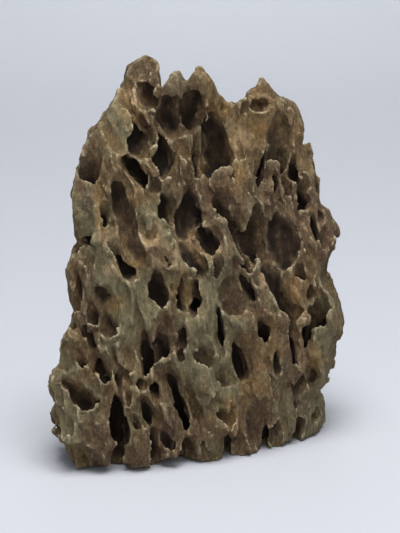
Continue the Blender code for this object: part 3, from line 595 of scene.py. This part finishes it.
def cut_lead_in(point, out, width, height, lean, depth):
    """Cuts a wide shallow bowl round the head of a pocket. A bowl of depth d is the foot of an ellipsoid
    with a radius of 3 d, whose centre is 2 d above the skin, so its mouth is 0.745 of its full width."""
    directions = lie_on(out, lean, 8)
    bowl = 1.5 + 0.22 * depth
    centre = point - directions[2] * 0.35 * height + out * 2 * bowl
    radii = (LEAD_WIDTH * width / (2 * BOWL_MOUTH), 3 * bowl, LEAD_HEIGHT * height / (2 * BOWL_MOUTH))
    cut_straight(drifted(centre), directions, radii)


LIP_DEPTH, LIP_WIDTH = 8, 8
LEAD_WIDTH, LEAD_HEIGHT = 1.4, 1.6
LEAD_BELOW, LEAD_NARROWER = 225, 14
BOWL_MOUTH = 0.745
LEDGE_PLACE, LEDGE_SUNK = 0.45, 2.5
LEDGE_REACH, LEDGE_THROUGH = 0.6, 5.0
places = []
for x, z, width, height, lean, depth in POCKETS:
    point, out, ray = aim(x, z)
    flat = lie_on(out, lean, 0)
    width = width / seen_share(flat[0], ray)
    height = height / seen_share(flat[2], ray)
    places.append((point, out, width, height, lean, depth))
for point, out, width, height, lean, depth in places:
    if depth >= LIP_DEPTH and point[2] < LEAD_BELOW and width < LEAD_NARROWER:
        cut_lead_in(point, out, width, height, lean, depth)
for point, out, width, height, lean, depth in places:
    if depth >= LIP_DEPTH and width >= LIP_WIDTH:
        flat = lie_on(out, lean, 0)
        ledge = point + flat[2] * LEDGE_PLACE * height - out * LEDGE_SUNK
        add_lump(ledge, flat, (LEDGE_REACH * width, LEDGE_THROUGH, 0.05 * height + 1.8), fillet=4)
field = smooth_max(field, outline_gap(X, Y, Z), 1.0).astype(np.float32)
for point, out, width, height, lean, depth in places:
    directions, radii, sunk = pocket_form(out, width, height, lean, depth)
    cut_straight(drifted(point - out * sunk), directions, radii)
print("pockets on the face:", len(places))

# %% [markdown]
# Under the middle horns the face is hollowed to an alcove, which runs up behind
# an overhanging rim. Two bowls side by side leave a rib between them.

# %% The alcove
ALCOVES = [
    # x, z on the sheet, y of the middle, then the three radii
    (-20, 254, -28, 12, 13, 19), (-3, 255, -23, 11, 13, 18),
]
FACE_OUT = np.array([0.37, -0.93, 0.0])


def at_depth(x, z, y):
    """The point at depth y on the line from the eye through a point of the sheet."""
    return EYE + (np.array([x, 0.0, z]) - EYE) * (EYE[1] - y) / EYE[1]


for x, z, y, *radii in ALCOVES:
    cut_straight(drifted(at_depth(x, z, y)), lie_on(FACE_OUT, 0, -20), radii)

# %% [markdown]
# The other sides get pockets of the same kind, scattered by a seeded dice with
# room kept between them, because rock weathers all round.

# %% The pockets on the other sides
dice = np.random.default_rng(11)
EYE_LINE = np.array([0.0, math.cos(LOOK_DOWN), -math.sin(LOOK_DOWN)])
TRIES = 3000
# from -1, facing the eye, to 1. The face has its own pockets, and those of the
# sides stay shallow, or they would bite into the outline
FACE_LIMIT, SIDE_LIMIT = -0.35, 0.45
SIDE_DEPTH = 8
ROOM, CLOSER_UPRIGHT = 0.48, 0.6
HEIGHTS, WIDTHS, TALLNESS = (4, 244), (7, 18), (1.4, 2.8)
LEANS, DEPTHS = (4, 20), (7, 22)


def round_the_side(angle, z):
    """A point of the body's superellipse at an angle and height, and the outward slope of
    (|u|^n + |v|^n) there, where v is measured from the turned middle line."""
    l, r = np.interp(z, heights, left), np.interp(z, heights, right)
    c, s = math.cos(angle), math.sin(angle)
    half, depth = (r - l) / 2, np.interp(z, LEVELS, BACK_REACH if s > 0 else FRONT_REACH)
    size = (abs(c) ** ROUNDNESS + abs(s) ** ROUNDNESS) ** (-1 / ROUNDNESS)
    u, v = c * size, s * size
    point = np.array([(l + r) / 2 + half * u, MIDDLE_Y + LEAN_BACK * z + TURN * half * u + depth * v, z])
    slope_v = math.copysign(abs(v) ** (ROUNDNESS - 1), v) / depth
    slope_u = math.copysign(abs(u) ** (ROUNDNESS - 1), u) / half - TURN * slope_v
    out = np.array([slope_u, slope_v, 0.1 * math.hypot(slope_u, slope_v)])
    return point, out / np.linalg.norm(out)


taken = [(drifted(point), width) for point, out, width, height, lean, depth in places]
scattered = []
for _ in range(TRIES):
    point, out = round_the_side(dice.uniform(0, 2 * math.pi), dice.uniform(*HEIGHTS))
    width = dice.uniform(*WIDTHS)
    height = width * dice.uniform(*TALLNESS)
    lean, depth = dice.uniform(*LEANS), dice.uniform(*DEPTHS)
    if out @ EYE_LINE < FACE_LIMIT:
        continue
    if out @ EYE_LINE < SIDE_LIMIT:
        depth = min(depth, SIDE_DEPTH)
    apart = [np.hypot(np.linalg.norm((point - p)[:2]), CLOSER_UPRIGHT * (point - p)[2])
             - ROOM * (width + w) for p, w in taken + scattered]
    if min(apart) < 0:
        continue
    scattered.append((point, width))
    directions, radii, sunk = pocket_form(out, width, height, lean, depth)
    cut_straight(point - out * sunk, directions, radii)
print("pockets on the other sides:", len(scattered))

# %% [markdown]
# ## Fine relief
#
# Last come the flutes that run down the walls, small scoops, and grit. Folded
# noise, the size of a noise without its sign, has a crease wherever the noise
# is zero. There the skin is pressed in least, so the creases stand as sharp
# ridges, and between them are flutes, when the noise is stretched along the
# grain. It is worked out only for the points near the surface.

# %% Flutes, scoops and grit
band = np.abs(field) < 5
bx, by, bz = wx[band], wy[band], wz[band]
grain_x = bx + GRAIN_LEAN * bz
relief = 1.8 * np.abs(gradient_noise(grain_x / 6.5, by / 6.5, bz / 26, 21)) - 0.5
relief += 0.9 * np.abs(gradient_noise(grain_x / 3.4, by / 3.4, bz / 11, 22)) - 0.2
relief += 0.8 * gradient_noise(bx / 13, by / 13, bz / 20, 23)
relief += 0.45 * gradient_noise(bx / 4.2, by / 4.2, bz / 5.5, 24)
relief += scoops(bx, by, bz, 5, 10, 0.8, 33)
field[band] += relief.astype(np.float32)
print("fine relief, mm:", round(float(relief.min()), 1), "to", round(float(relief.max()), 1))

# %% [markdown]
# Cutting leaves crumbs and slivers that no rock would keep. The share of rock
# in a small cube tells them apart: it is low round a sliver. The feet are then
# made upright over their last 3 mm and cut at the floor.

# %% Breaking off what is too thin
def mean_round(values, reach):
    """The mean over a cube of (2 reach + 1) points a side, one axis after another by running sums."""
    values = values.astype(np.float32)
    for axis in range(3):
        run = np.cumsum(np.moveaxis(values, axis, 0), axis=0)
        run = np.concatenate([np.zeros_like(run[:1]), run])
        size = len(run) - 1
        first = np.clip(np.arange(size) - reach, 0, size)
        last = np.clip(np.arange(size) + reach + 1, 0, size)
        values = np.moveaxis((run[last] - run[first]) / (2 * reach + 1), 0, axis)
    return values


THIN_SHARES = {2: 0.17, 4: 0.13}  # reach in grid steps, least share of rock
FOOT_HEIGHT = 3.0
JUST_OUTSIDE, FAR_OUTSIDE, JUST_INSIDE = 0.3, 9.0, -0.02
for reach, least in list(THIN_SHARES.items()) * 2:
    too_thin = (field < 0) & (mean_round(field < 0, reach) < least)
    field[too_thin] = JUST_OUTSIDE
foot_top = int(np.argmax(axes[2] > FOOT_HEIGHT))
field[:, :, :foot_top] = np.maximum(field[:, :, :foot_top], field[:, :, foot_top, None])
field = np.maximum(field, -Z)
for axis in range(3):
    for end in (0, -1):
        np.moveaxis(field, axis, 0)[end] = FAR_OUTSIDE
print("points broken off:", int(too_thin.sum()))

# %% [markdown]
# ## From the field to a mesh
#
# A surface net is the simplest way to skin a field: each grid cell that the
# surface passes through gets one vertex, at the mean of the points where its
# edges cross zero, and each grid edge that crosses zero gets one quad between
# the four cells round it. Two rock corners that touch across a face would make
# an edge shared by four quads, so one such corner is filled first.

# %% Skinning the field
def fill_touching_corners(values):
    """Where the four corners of a grid face alternate in sign, makes one of the outer two just rock,
    until no such face is left."""
    while True:
        found = 0
        for a, b in ((0, 1), (0, 2), (1, 2)):
            def corner(i, j):
                part = [slice(None)] * 3
                part[a] = slice(i, -1 if i == 0 else None)
                part[b] = slice(j, -1 if j == 0 else None)
                return values[tuple(part)]
            rock = {(i, j): corner(i, j) < 0 for i in (0, 1) for j in (0, 1)}
            one = rock[0, 0] & rock[1, 1] & ~rock[1, 0] & ~rock[0, 1]
            two = rock[1, 0] & rock[0, 1] & ~rock[0, 0] & ~rock[1, 1]
            corner(1, 0)[one] = JUST_INSIDE
            corner(0, 0)[two] = JUST_INSIDE
            found += int(one.sum() + two.sum())
        if not found:
            return values


def surface_net(values):
    """Vertices in grid steps, and quads that face outwards. An edge with g at one end and h at the
    other crosses zero at g / (g - h), and a cell's vertex is the mean of its edges' crossings."""
    rock = values < 0
    cells = np.array(values.shape) - 1
    corners = list(np.ndindex(2, 2, 2))

    def at_corner(a, c):
        return a[c[0]:c[0] + cells[0], c[1]:c[1] + cells[1], c[2]:c[2] + cells[2]]

    filled = sum(at_corner(rock, c).astype(np.int8) for c in corners)
    crossed = (filled > 0) & (filled < 8)
    number = np.full(crossed.shape, -1, np.int32)
    number[crossed] = np.arange(crossed.sum())
    gaps = {c: at_corner(values, c)[crossed] for c in corners}
    total = np.zeros((crossed.sum(), 3))
    crossings = np.zeros(crossed.sum())
    for c in corners:
        for axis in range(3):
            if c[axis] == 0:
                d = tuple(v + (i == axis) for i, v in enumerate(c))
                cut = (gaps[c] < 0) != (gaps[d] < 0)
                point = np.tile(np.array(c, float), (cut.sum(), 1))
                point[:, axis] = gaps[c][cut] / (gaps[c][cut] - gaps[d][cut])
                total[cut] += point
                crossings[cut] += 1
    vertices = np.argwhere(crossed) + total / crossings[:, None]
    quads = []
    for axis in range(3):
        u, v = (axis + 1) % 3, (axis + 2) % 3
        near, far = [slice(1, -1)] * 3, [slice(1, -1)] * 3
        near[axis], far[axis] = slice(0, -1), slice(1, None)
        for leaving in (True, False):
            a, b = rock[tuple(near)], rock[tuple(far)]
            at = np.argwhere(a & ~b if leaving else ~a & b)
            at[:, [u, v]] += 1
            ring = []
            for du, dv in ((0, 0), (1, 0), (1, 1), (0, 1)):
                cell = at.copy()
                cell[:, u] -= du
                cell[:, v] -= dv
                ring.append(number[tuple(cell.T)])
            quads.append(np.stack(ring if leaving else ring[::-1], 1))
    return vertices, np.concatenate(quads)


def largest_piece(vertices, quads):
    """Keeps the largest joined piece: each vertex takes the lowest label next to it until none change."""
    label = np.arange(len(vertices))
    a, b = quads.ravel(), np.roll(quads, -1, axis=1).ravel()
    while True:
        low = np.minimum(label[a], label[b])
        new = label.copy()
        np.minimum.at(new, a, low)
        np.minimum.at(new, b, low)
        new = new[new][new[new]]
        if (new == label).all():
            break
        label = new
    keep = label == np.bincount(label).argmax()
    renumber = np.cumsum(keep) - 1
    return vertices[keep], renumber[quads[keep[quads[:, 0]]]]


vertices, quads = surface_net(fill_touching_corners(field))
vertices, quads = largest_piece(vertices, quads)
vertices = BLOCK_LOW + SPACING * vertices
print("net:", len(vertices), "vertices,", len(quads), "quads, z from", round(vertices[:, 2].min(), 2))

# %% [markdown]
# The net has far more faces than the shape needs, so a Decimate modifier thins
# them out where the skin is flat. It can close a fine pore down to two
# triangles back to back, and those are taken out.

# %% The stone's mesh
def mesh_object(name, vertices_mm, faces):
    """An object at the origin whose mesh has these points, given in mm, and these faces."""
    mesh = bpy.data.meshes.new(name)
    mesh.from_pydata((np.asarray(vertices_mm) * MM).tolist(), [], faces.tolist())
    mesh.shade_smooth()
    made = bpy.data.objects.new(name, mesh)
    bpy.context.scene.collection.objects.link(made)
    return made


def applied(made):
    """Puts the object's modifiers into its mesh."""
    graph = bpy.context.evaluated_depsgraph_get()
    mesh = bpy.data.meshes.new_from_object(made.evaluated_get(graph))
    made.modifiers.clear()
    made.data = mesh
    return mesh


def split_quads(vertices, quads):
    """Two triangles for each quad, cut along its shorter diagonal."""
    across = [np.linalg.norm(vertices[quads[:, i]] - vertices[quads[:, i + 2]], axis=1) for i in (0, 1)]
    turned = np.where((across[0] > across[1])[:, None], np.roll(quads, -1, axis=1), quads)
    return np.concatenate([turned[:, [0, 1, 2]], turned[:, [0, 2, 3]]])


def drop_double_faces(mesh):
    """Takes out each pair of triangles on the same three points, which is all that is left of a pore
    that has closed."""
    points = np.empty(3 * len(mesh.vertices))
    mesh.vertices.foreach_get("co", points)
    corners = np.empty(len(mesh.loops), np.int32)
    mesh.loops.foreach_get("vertex_index", corners)
    triangles = corners.reshape(-1, 3)
    _, kind, times = np.unique(np.sort(triangles, axis=1), axis=0, return_inverse=True, return_counts=True)
    kept = triangles[times[kind.ravel()] == 1]
    mesh.clear_geometry()
    mesh.from_pydata(points.reshape(-1, 3).tolist(), [], kept.tolist())
    mesh.shade_smooth()


MOST_TRIANGLES = 190000
stone = mesh_object("weathered_stone", vertices, split_quads(vertices, quads))
thin = stone.modifiers.new("fewer faces", "DECIMATE")
thin.ratio = min(1.0, MOST_TRIANGLES / (2 * len(quads)))
drop_double_faces(applied(stone))
print("stone:", len(stone.data.polygons), "faces, sound:", not stone.data.validate())

# %% [markdown]
# ## Ridges, hollows and depth, measured from the shape
#
# The colours follow the shape. Ridges are pale cream, partly rubbed wear and
# partly painted highlight where they face up, pockets are painted dark, as
# painted shade with some dirt, and the old skin between them keeps its
# grey-green. All three can be read from the block of numbers: the share of rock
# in a small cube round a point is a half on a flat, less on a ridge and more in
# a hollow, and the field from before the pockets says how deep a point lies
# under the old skin.

# %% Reading the shape at each vertex
points = np.empty(3 * len(stone.data.vertices))
stone.data.vertices.foreach_get("co", points)
points = points.reshape(-1, 3) / MM
rock = field < 0
edge_share = sample(mean_round(rock, round(1.3 / SPACING)), points)
near_share = sample(mean_round(rock, round(2.6 / SPACING)), points)
wide_share = sample(mean_round(rock, round(8.0 / SPACING)), points)
under_skin = -sample(skin, points)


def ramp(values, low, high):
    """0 below low, 1 above high, and straight between."""
    return np.clip((values - low) / (high - low), 0, 1)


def keep_on_mesh(made, name, values):
    """Stores one number a vertex, for the material to read."""
    made.data.attributes.new(name, "FLOAT", "POINT").data.foreach_set("value", values.astype(np.float32))
    print(name, "mean", round(float(values.mean()), 2))


normals = np.empty(3 * len(points))
stone.data.vertices.foreach_get("normal", normals)
normals = normals.reshape(-1, 3)
# what faces down is sheltered and rubbed less; the pale edges and ridges that face up are partly painted
# highlight
upward_highlight_and_wear = 0.25 + 0.75 * ramp(normals[:, 2], -0.3, 0.35)
keep_on_mesh(stone, "edge", ramp(edge_share, 0.40, 0.24) * upward_highlight_and_wear)
keep_on_mesh(stone, "ridge", ramp(near_share, 0.43, 0.25) * upward_highlight_and_wear)
# hollow and depth darken the pockets in the material: painted shade with some dirt
keep_on_mesh(stone, "hollow", ramp(wide_share, 0.45, 0.85))
keep_on_mesh(stone, "depth", ramp(under_skin, 0.0, 20.0))

# %% [markdown]
# ## Stained places
#
# The stone isn't one brown. Iron has left ochre along some borders and ledges,
# the old skin is grey-green in broad patches, and some scoops are reddish. Each
# list gives soft patches on the sheet, whose ragged edges come from the
# material's noise. The sides and back get theirs from a seeded dice.

# %% Soft patches of stain
STAINS = {
    # x, z, width, height, lean
    "ochre": [
        (-34, 159, 20, 12, 0), (-72, 201, 6, 40, 4), (-71, 170, 8, 32, 4), (-47, 257, 18, 20, 20),
        (39, 47, 12, 22, 5), (25, 23, 14, 26, 5), (12, 258, 18, 22, 30), (73, 122, 8, 30, 5),
        (30, 214, 14, 40, 10), (-60, 110, 12, 14, 30), (-75, 57, 14, 10, 0), (10, 150, 12, 8, 0),
        (46, 243, 10, 26, 8), (-10, 118, 12, 22, 0), (-44, 141, 22, 8, 20), (88, 66, 12, 20, 0),
    ],
    "pale": [
        (-36, 156, 20, 9, -10), (-31, 167, 8, 12, 0), (-28, 146, 28, 16, 0), (-66, 163, 18, 7, 20),
        (-10, 158, 12, 14, 0), (14, 152, 22, 12, 0), (50, 128, 10, 20, 0), (-62, 135, 12, 12, 0),
        (30, 230, 12, 26, 0), (-45, 262, 8, 16, 20), (-60, 60, 6, 20, 0), (80, 70, 8, 30, 0),
    ],
    "green": [
        (-32, 170, 26, 26, 10), (58, 123, 14, 36, 5), (21, 53, 22, 30, 5), (11, 111, 30, 90, 5),
        (-50, 119, 36, 50, 10), (-55, 72, 24, 30, 5), (-56, 247, 12, 40, 20), (-16, 279, 16, 20, 0),
        (-20, 150, 40, 18, 0), (45, 170, 12, 60, 5), (-98, 30, 18, 60, 0), (80, 20, 30, 40, 0),
        (-76, 180, 16, 50, 5), (5, 80, 26, 40, 0), (38, 150, 22, 24, 0), (95, 80, 14, 60, 0),
    ],
    "red": [
        (-40, 286, 22, 26, 0), (-11, 257, 32, 42, 0), (-81, 212, 18, 52, 8), (-23, 77, 18, 26, 0),
        (86, 168, 20, 34, 0), (97, 157, 12, 24, 0), (-12, 6, 30, 26, 0), (58, 184, 26, 54, 0),
        (22, 190, 26, 44, 0), (75, 60, 14, 70, 5), (35, 115, 22, 30, 0), (-70, -2, 24, 34, 0),
        (-35, -12, 20, 26, 0), (45, 20, 18, 40, 0), (-80, 92, 16, 20, 0), (8, 180, 30, 30, 0),
    ],
}
BEHIND = 30
BEHIND_SPAN = ((-95, 95), (-40, 60), (0, 285))  # x, y and z in mm
BEHIND_WIDTHS, BEHIND_TALLNESS = (14, 34), (1, 3)

sheet_u, sheet_v = on_sheet(*points.T)
seen = ramp(-normals @ EYE_LINE, -0.3, 0.1)


def patch(across, along, width, height, lean):
    """A soft spot: exp(-0.7 r^2), where r is the leaning offset over half the width and half the height."""
    c, s = math.cos(math.radians(lean)), math.sin(math.radians(lean))
    r = np.hypot((across * c + along * s) / (width / 2), (along * c - across * s) / (height / 2))
    return np.exp(-0.7 * r**2)


for name, spots in STAINS.items():
    front = sum(patch(sheet_u - x, sheet_v - z, w, h, lean) for x, z, w, h, lean in spots)
    back = 0
    for _ in range(BEHIND):
        spot = np.array([dice.uniform(*span) for span in BEHIND_SPAN])
        width = dice.uniform(*BEHIND_WIDTHS)
        across = np.linalg.norm((points - spot)[:, :2], axis=1)
        height = dice.uniform(*BEHIND_TALLNESS) * width
        back = back + patch(across, points[:, 2] - spot[2], width, height, 0)
    keep_on_mesh(stone, name, np.clip(front * seen + back * (1 - seen), 0, 1))

# %% [markdown]
# ## Into the solid's box
#
# The mesh is moved so that its middle is over the solid's origin, and drawn in
# by one or two parts in a hundred, which brings its ridges and grit a hair
# inside the solid's box.

# %% Setting the stone in the frame
HAIR = 0.1 * MM
SHARP_FROM = 16
points = points * MM
low, high = points.min(0), points.max(0)
middle = (low + high) / 2
middle[2] = low[2]
room = np.array(cad_high) - np.array(cad_low) - 2 * HAIR
shrink = np.minimum(1.0, room / (high - low))
cad_middle = (np.array(cad_low) + np.array(cad_high)) / 2
cad_middle[2] = cad_low[2]
shift = cad_middle - middle
points = (points - middle) * shrink + cad_middle
stone.data.vertices.foreach_set("co", points.ravel())
stone.data.update()
stone.data.set_sharp_from_angle(angle=math.radians(SHARP_FROM))
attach(stone, "root")
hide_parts("dragon_stone")
print("stone, mm:", (1000 * (points.max(0) - points.min(0))).round(1), "drawn in:", shrink.round(4))

# %% [markdown]
# ## The rock's material
#
# Weathered clay stone is matt all over. Its colour comes in layers, so the
# material is a table of them, from the broadest to the finest. A line holds a
# colour, how much of it is laid on at most, and what it follows: a noise whose
# blobs are so many millimetres wide, or a number kept at the vertices. Noises
# with a share are drawn out along the grain by squeezing their coordinates.

# %% One function for nodes, and one for colours
def colour(code):
    """An sRGB hex colour as linear numbers: ((c + 0.055) / 1.055)^2.4, or c / 12.92 when dark."""
    parts = [int(code[i:i + 2], 16) / 255 for i in (1, 3, 5)]
    return (*(((c + 0.055) / 1.055) ** 2.4 if c > 0.04045 else c / 12.92 for c in parts), 1.0)


def add_node(tree, kind, settings=None, **inputs):
    """Adds a node, sets its settings, and fills its inputs with numbers, colours or other outputs."""
    node = tree.nodes.new(kind)
    for key, value in (settings or {}).items():
        setattr(node, key, value)
    for key, value in inputs.items():
        socket = node.inputs[int(key[1:])] if key[0] == "_" else node.inputs[key.replace("_", " ")]
        if isinstance(value, bpy.types.NodeSocket):
            tree.links.new(value, socket)
        else:
            socket.default_value = value
    return node


# %% What the stone's colours are made of
PATTERNS = {
    # share of the grain, mm, detail, roughness, distortion
    "broad": (0.3, 26, 5, 0.62, 0.0), "grey": (None, 19, 4, 0.6, 0.0),
    "patchy": (None, 16, 4, 0.6, 0.0), "ruddy": (0.3, 14, 4, 0.6, 0.0),
    "streaky": (0.14, 5, 4, 0.6, 0.0), "crusty": (None, 6, 4, 0.7, 0.0),
    "fibre": (0.3, 3.0, 5, 0.7, 0.5), "mottle": (None, 3.2, 4, 0.7, 0.0),
    "threads": (0.25, 1.5, 4, 0.7, 1.0), "chipped": (None, 5, 4, 0.65, 0.0),
    "crests": (0.3, 11, 4, 0.6, 0.0), "flutes": (0.3, 3.5, 4, 0.65, 0.6), "grit": (None, 1.6, 5, 0.7, 0.0),
}
# a stain's edge is ragged: its number times the weight, plus a pattern
RAGGED = {
    "green": (0.5, "patchy"), "red": (0.45, "ruddy"), "ochre": (0.45, "streaky"), "pale": (0.5, "crusty"),
}
DARK_BROWN = "#48351f"
LAYERS = [
    # colour, the most of it, and for each thing it follows, where that gives none and where all
    ("#765c3b", 1.0, ("broad", 0.36, 0.64)),  # light brown
    ("#65583d", 1.0, ("grey", 0.48, 0.7)),  # grey-brown
    ("#716e53", 0.7, ("green", 0.5, 0.78), ("depth", 0.4, 0.05)),  # grey-green, on the old skin only
    ("#4f3a2e", 0.6, ("red", 0.52, 0.72)),  # red-brown scoops
    ("#8a6938", 0.6, ("ochre", 0.6, 0.95)),  # iron stains
    ("#b3956f", 0.6, ("pale", 0.6, 0.95)),  # crust on the ledges
    ("#33281a", 0.45, ("fibre", 0.5, 0.32)),  # dark and pale streaks along the grain
    ("#957e58", 0.3, ("fibre", 0.55, 0.75)),
    ("#907753", 0.6, ("mottle", 0.52, 0.75)),  # pale and dark grains
    ("#362b1e", 0.6, ("mottle", 0.47, 0.3)),
    ("#aa9c7c", 0.5, ("threads", 0.55, 0.7)),  # pale and dark scratches
    ("#2e2417", 0.5, ("threads", 0.45, 0.3)),
    ("#a3926f", 0.45, ("chipped", 0.35, 0.65), ("ridge", 0.0, 1.0)),  # rubbed ridges, partly painted highlight
    ("#c9bb9b", 0.7, ("chipped", 0.25, 0.55), ("edge", 0.0, 1.0)),  # cream on their edges, partly painted highlight
    ("#433024", 0.7, ("chipped", 0.3, 0.6), ("depth", 0.05, 0.3), ("hollow", 0.0, 0.35)),  # earth: brown under the old skin, darker in hollows as painted shade
    ("#1c150e", 0.92, ("depth", 0.12, 0.6), ("hollow", 0.05, 0.5)),  # painted shade deep in the pockets, with some dirt
]
BUMPS = {"crests": 2.0, "flutes": 1.8, "grit": 1.4}  # mm of relief
ROUGHNESS = (0.8, 0.95)


# %% Weathered clay stone, which never shines
def rock_material():
    """Matt, layered brown stone. A layer's share of the colour is its most, times how far each thing
    that it follows has gone from none to all."""
    material = bpy.data.materials.new("weathered_clay_stone")
    material.use_nodes = True
    tree = material.node_tree
    shader = tree.nodes["Principled BSDF"]

    where = {None: add_node(tree, "ShaderNodeTexCoord").outputs["Object"]}
    found = {}
    for name, (share, size, detail, roughness, distortion) in PATTERNS.items():
        if share not in where:
            turn = (0.0, math.radians(GRAIN_DEGREES), 0.0)
            where[share] = add_node(tree, "ShaderNodeMapping", Vector=where[None], Rotation=turn,
                                    Scale=(1.0, 1.0, share)).outputs[0]
        kind = "RIDGED_MULTIFRACTAL" if name == "crests" else "FBM"
        found[name] = add_node(tree, "ShaderNodeTexNoise", {"noise_type": kind}, Vector=where[share],
                               Scale=1000 / size, Detail=detail, Roughness=roughness,
                               Distortion=distortion).outputs["Fac"]
    for name in ("edge", "ridge", "hollow", "depth", *RAGGED):
        found[name] = add_node(tree, "ShaderNodeAttribute", {"attribute_name": name}).outputs["Fac"]
    for name, (weight, pattern) in RAGGED.items():
        found[name] = add_node(tree, "ShaderNodeMath", {"operation": "MULTIPLY_ADD"}, _0=found[name],
                               _1=weight, _2=found[pattern]).outputs[0]

    base = colour(DARK_BROWN)
    for code, share, *followed in LAYERS:
        for name, none, all_of_it in followed:
            share = add_node(tree, "ShaderNodeMapRange", Value=found[name], From_Min=none,
                             From_Max=all_of_it, To_Max=share).outputs[0]
        base = add_node(tree, "ShaderNodeMix", {"data_type": "RGBA"}, _0=share, _6=base,
                        _7=colour(code)).outputs[2]
    tree.links.new(base, shader.inputs["Base Color"])

    rough = add_node(tree, "ShaderNodeMapRange", Value=found["mottle"], From_Min=0.3, From_Max=0.7,
                     To_Min=ROUGHNESS[0], To_Max=ROUGHNESS[1])
    tree.links.new(rough.outputs[0], shader.inputs["Roughness"])
    shader.inputs["Specular IOR Level"].default_value = 0.25

    below = {}
    for name, height in BUMPS.items():
        bump = add_node(tree, "ShaderNodeBump", Strength=1.0, Distance=height * MM, Height=found[name],
                        **below)
        below = {"Normal": bump.outputs[0]}
    tree.links.new(bump.outputs[0], shader.inputs["Normal"])
    return material


stone.data.materials.clear()
stone.data.materials.append(rock_material())

# %% [markdown]
# ## The studio
#
# A pale seamless sheet, curved up behind the stone, with a big soft light
# overhead, a faint one straight in front and one on the back of the sheet. The
# camera is far away with a long lens, so the stone's sides stay nearly
# parallel, and looks down by 16 degrees.

# %% The seamless sheet
FLOOR_START, BEND_START, BEND_RADIUS = -4.0, 1.4, 0.9  # m
WALL_TOP, HALF_WIDTH = 4.0, 4.0


def seamless_sheet():
    """Floor and wall in one sheet: a straight run, a quarter circle, and a straight run up."""
    bend = np.linspace(0, math.pi / 2, 24)
    curve = [(BEND_START + BEND_RADIUS * math.sin(a), BEND_RADIUS - BEND_RADIUS * math.cos(a)) for a in bend]
    profile = np.array([(FLOOR_START, 0.0), *curve, (BEND_START + BEND_RADIUS, WALL_TOP)])
    count = len(profile)
    left_side = np.column_stack([np.full(count, -HALF_WIDTH), profile])
    right_side = np.column_stack([np.full(count, HALF_WIDTH), profile])
    first = np.arange(count - 1)
    faces = np.stack([first, first + count, first + count + 1, first + 1], 1)
    return mesh_object("seamless_sheet", np.concatenate([left_side, right_side]) / MM, faces)


# Matt paper: rough all over, with almost no shine
sheet = seamless_sheet()
paper = bpy.data.materials.new("matt_paper")
paper.use_nodes = True
paper_shader = paper.node_tree.nodes["Principled BSDF"]
paper_shader.inputs["Base Color"].default_value = colour("#b0b2b7")
paper_shader.inputs["Roughness"].default_value = 0.95
paper_shader.inputs["Specular IOR Level"].default_value = 0.1
sheet.data.materials.append(paper)

# %% Lights
def soft_light(name, place, size, power, target=(0, 0, 0.12)):
    """A square area light that faces a target."""
    light = bpy.data.lights.new(name, "AREA")
    light.size = size
    light.energy = power
    made = bpy.data.objects.new(name, light)
    made.location = place
    made.rotation_euler = (Vector(target) - Vector(place)).to_track_quat("-Z", "Y").to_euler()
    bpy.context.scene.collection.objects.link(made)
    return made


soft_light("overhead", (0.1, -0.5, 2.1), 1.15, 66)
soft_light("front", (0.25, -1.5, 0.5), 1.3, 5.5)
soft_light("backdrop", (0.0, 2.4, 1.2), 0.8, 30, target=(0, 2.5, 0.2))
world = bpy.data.worlds.new("pale_room")
bpy.context.scene.world = world
world.use_nodes = True
world.node_tree.nodes["Background"].inputs["Color"].default_value = (0.82, 0.87, 0.96, 1.0)
world.node_tree.nodes["Background"].inputs["Strength"].default_value = 0.42
bpy.context.scene.view_settings.view_transform = "Standard"

# %% The camera
TARGET = np.array([2.2, 0.0, 137.0]) * MM
AWAY = 1.5
VIEW_HEIGHT = 389.09 * MM
target = Vector(TARGET + shift)
place = target - AWAY * Vector(EYE_LINE)
camera = bpy.data.cameras.new("camera")
camera.sensor_width = 36.0
camera.lens = camera.sensor_width * AWAY / VIEW_HEIGHT
viewer = bpy.data.objects.new("camera", camera)
viewer.location = place
viewer.rotation_euler = (target - place).to_track_quat("-Z", "Y").to_euler()
bpy.context.scene.collection.objects.link(viewer)
bpy.context.scene.camera = viewer
